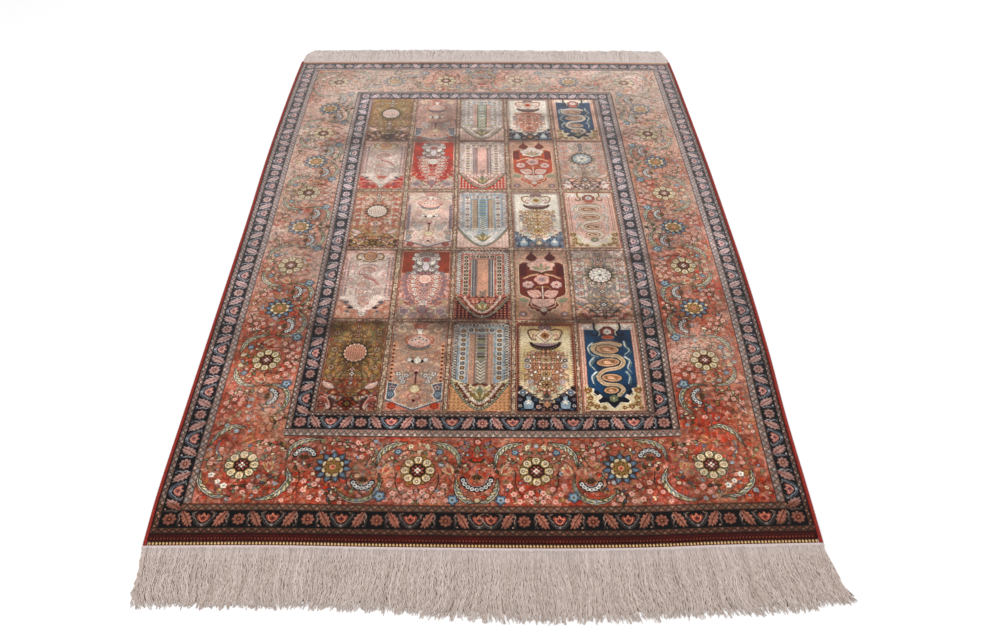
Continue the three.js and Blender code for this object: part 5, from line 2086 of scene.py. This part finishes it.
# %% [markdown]
# The cords, the stitches, their bed and the bare web are plain dyed yarn. They differ in two shades
# and in how coarse their fibres are, so one function makes all four finishes.

# %% Side cords, stitches, dark weft and bare web
def yarn_finish(name, dark, pale, scale, roughness, distance):
    """A yarn whose colour swings between two shades along its fibres."""
    made = Finish(name, roughness, sheen=0.2, specular=0.25)
    where = made.place()
    shade = made.ramp(made.noise(where, scale, 4.0, 0.65), 0.3, 0.7)
    made.colour(made.mix(shade, light(*dark), light(*pale)))
    made.bump(made.noise(where, scale * 3.0, 2.0), distance, 0.6)
    return made


side_finish = yarn_finish("overcast red yarn", (0.36, 0.06, 0.03), (0.64, 0.17, 0.09), 260.0, 0.6, 0.0005)
side_finish.wear(*cords)
chain_finish = yarn_finish("golden chain yarn", (0.60, 0.46, 0.24), (0.92, 0.82, 0.58), 300.0, 0.6, 0.0004)
chain_finish.wear(*stitches)
bed_finish = yarn_finish("dark weft", (0.24, 0.05, 0.03), (0.44, 0.12, 0.06), 300.0, 0.8, 0.0004)
bed_finish.wear(*beds)
web_strip_finish = yarn_finish("bare warp", (0.72, 0.65, 0.64), (0.86, 0.80, 0.79), 400.0, 0.8, 0.0005)
web_strip_finish.wear(*webs)

# %% [markdown]
# The fringe is undyed silk, cream with greyed strands. Each yarn has a tone of its own, fine strokes of
# painted shade and highlight run along it as its crimp catches the light, and its root lies pale in the
# bare web. Towards the far end the yarns are painted paler, as sheen. The mat under it is darker,
# because it stands for the shade between the yarns.

# %% Fringe yarn
fringe_finish = Finish("fringe yarn", roughness=0.8, sheen=0.25, specular=0.2)
tone = fringe_finish.attribute("yarn_tone", "Fac")
# Painted shade and highlight: short strokes along the yarns.
crimp_shade_strokes = fringe_finish.noise(fringe_finish.place(scale=(1.0, 0.22, 1.0)), 620.0, 3.0, 0.6)
tone = fringe_finish.math("ADD", fringe_finish.math("MULTIPLY", tone, 0.6),
                          fringe_finish.ramp(crimp_shade_strokes, 0.3, 0.7, -0.2, 0.6))
yarn = fringe_finish.mix(tone, light(0.66, 0.58, 0.53), light(0.92, 0.86, 0.83))
root_share = fringe_finish.ramp(fringe_finish.attribute("yarn_along", "Fac"), 0.0, 0.3, 0.45, 0.0)
yarn = fringe_finish.mix(root_share, yarn, light(0.84, 0.78, 0.77))
# Painted sheen: towards the far end the yarns are painted paler.
far_end = fringe_finish.ramp(fringe_finish.split(fringe_finish.place(), 1), 0.5, 1.0, 0.0, 0.5)
fringe_finish.colour(fringe_finish.mix(far_end, yarn, light(0.97, 0.92, 0.90)))
fringe_finish.bump(crimp_shade_strokes, 0.0008, 0.8)
fringe_finish.wear(*fringes)
mat_finish = Finish("lowest fringe yarns", roughness=0.85, specular=0.15)
threads = mat_finish.noise(mat_finish.place(scale=(1.0, 0.2, 1.0)), 480.0, 3.0, 0.6)
mat_finish.colour(mat_finish.mix(mat_finish.ramp(threads, 0.35, 0.65), light(0.40, 0.33, 0.29),
                                 light(0.76, 0.69, 0.65)))
mat_finish.bump(threads, 0.001, 0.8)
mat_finish.wear(*mats)

# %% [markdown]
# Last, every piece rides on the rug's one body, and the plain solids of the frame that they replace
# are hidden. The blocks of pile lie on the woven web.

# %% Ride and replace
for obj in (*pile, foundation, *cords, *stitches, *beds, *fringes, *webs, *mats):
    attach(obj, "root")
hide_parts("rug_body")
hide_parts("selvedge_left")
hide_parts("selvedge_right")
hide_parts("end_chain_near")
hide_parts("end_chain_far")
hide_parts("fringe_near")
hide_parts("fringe_far")
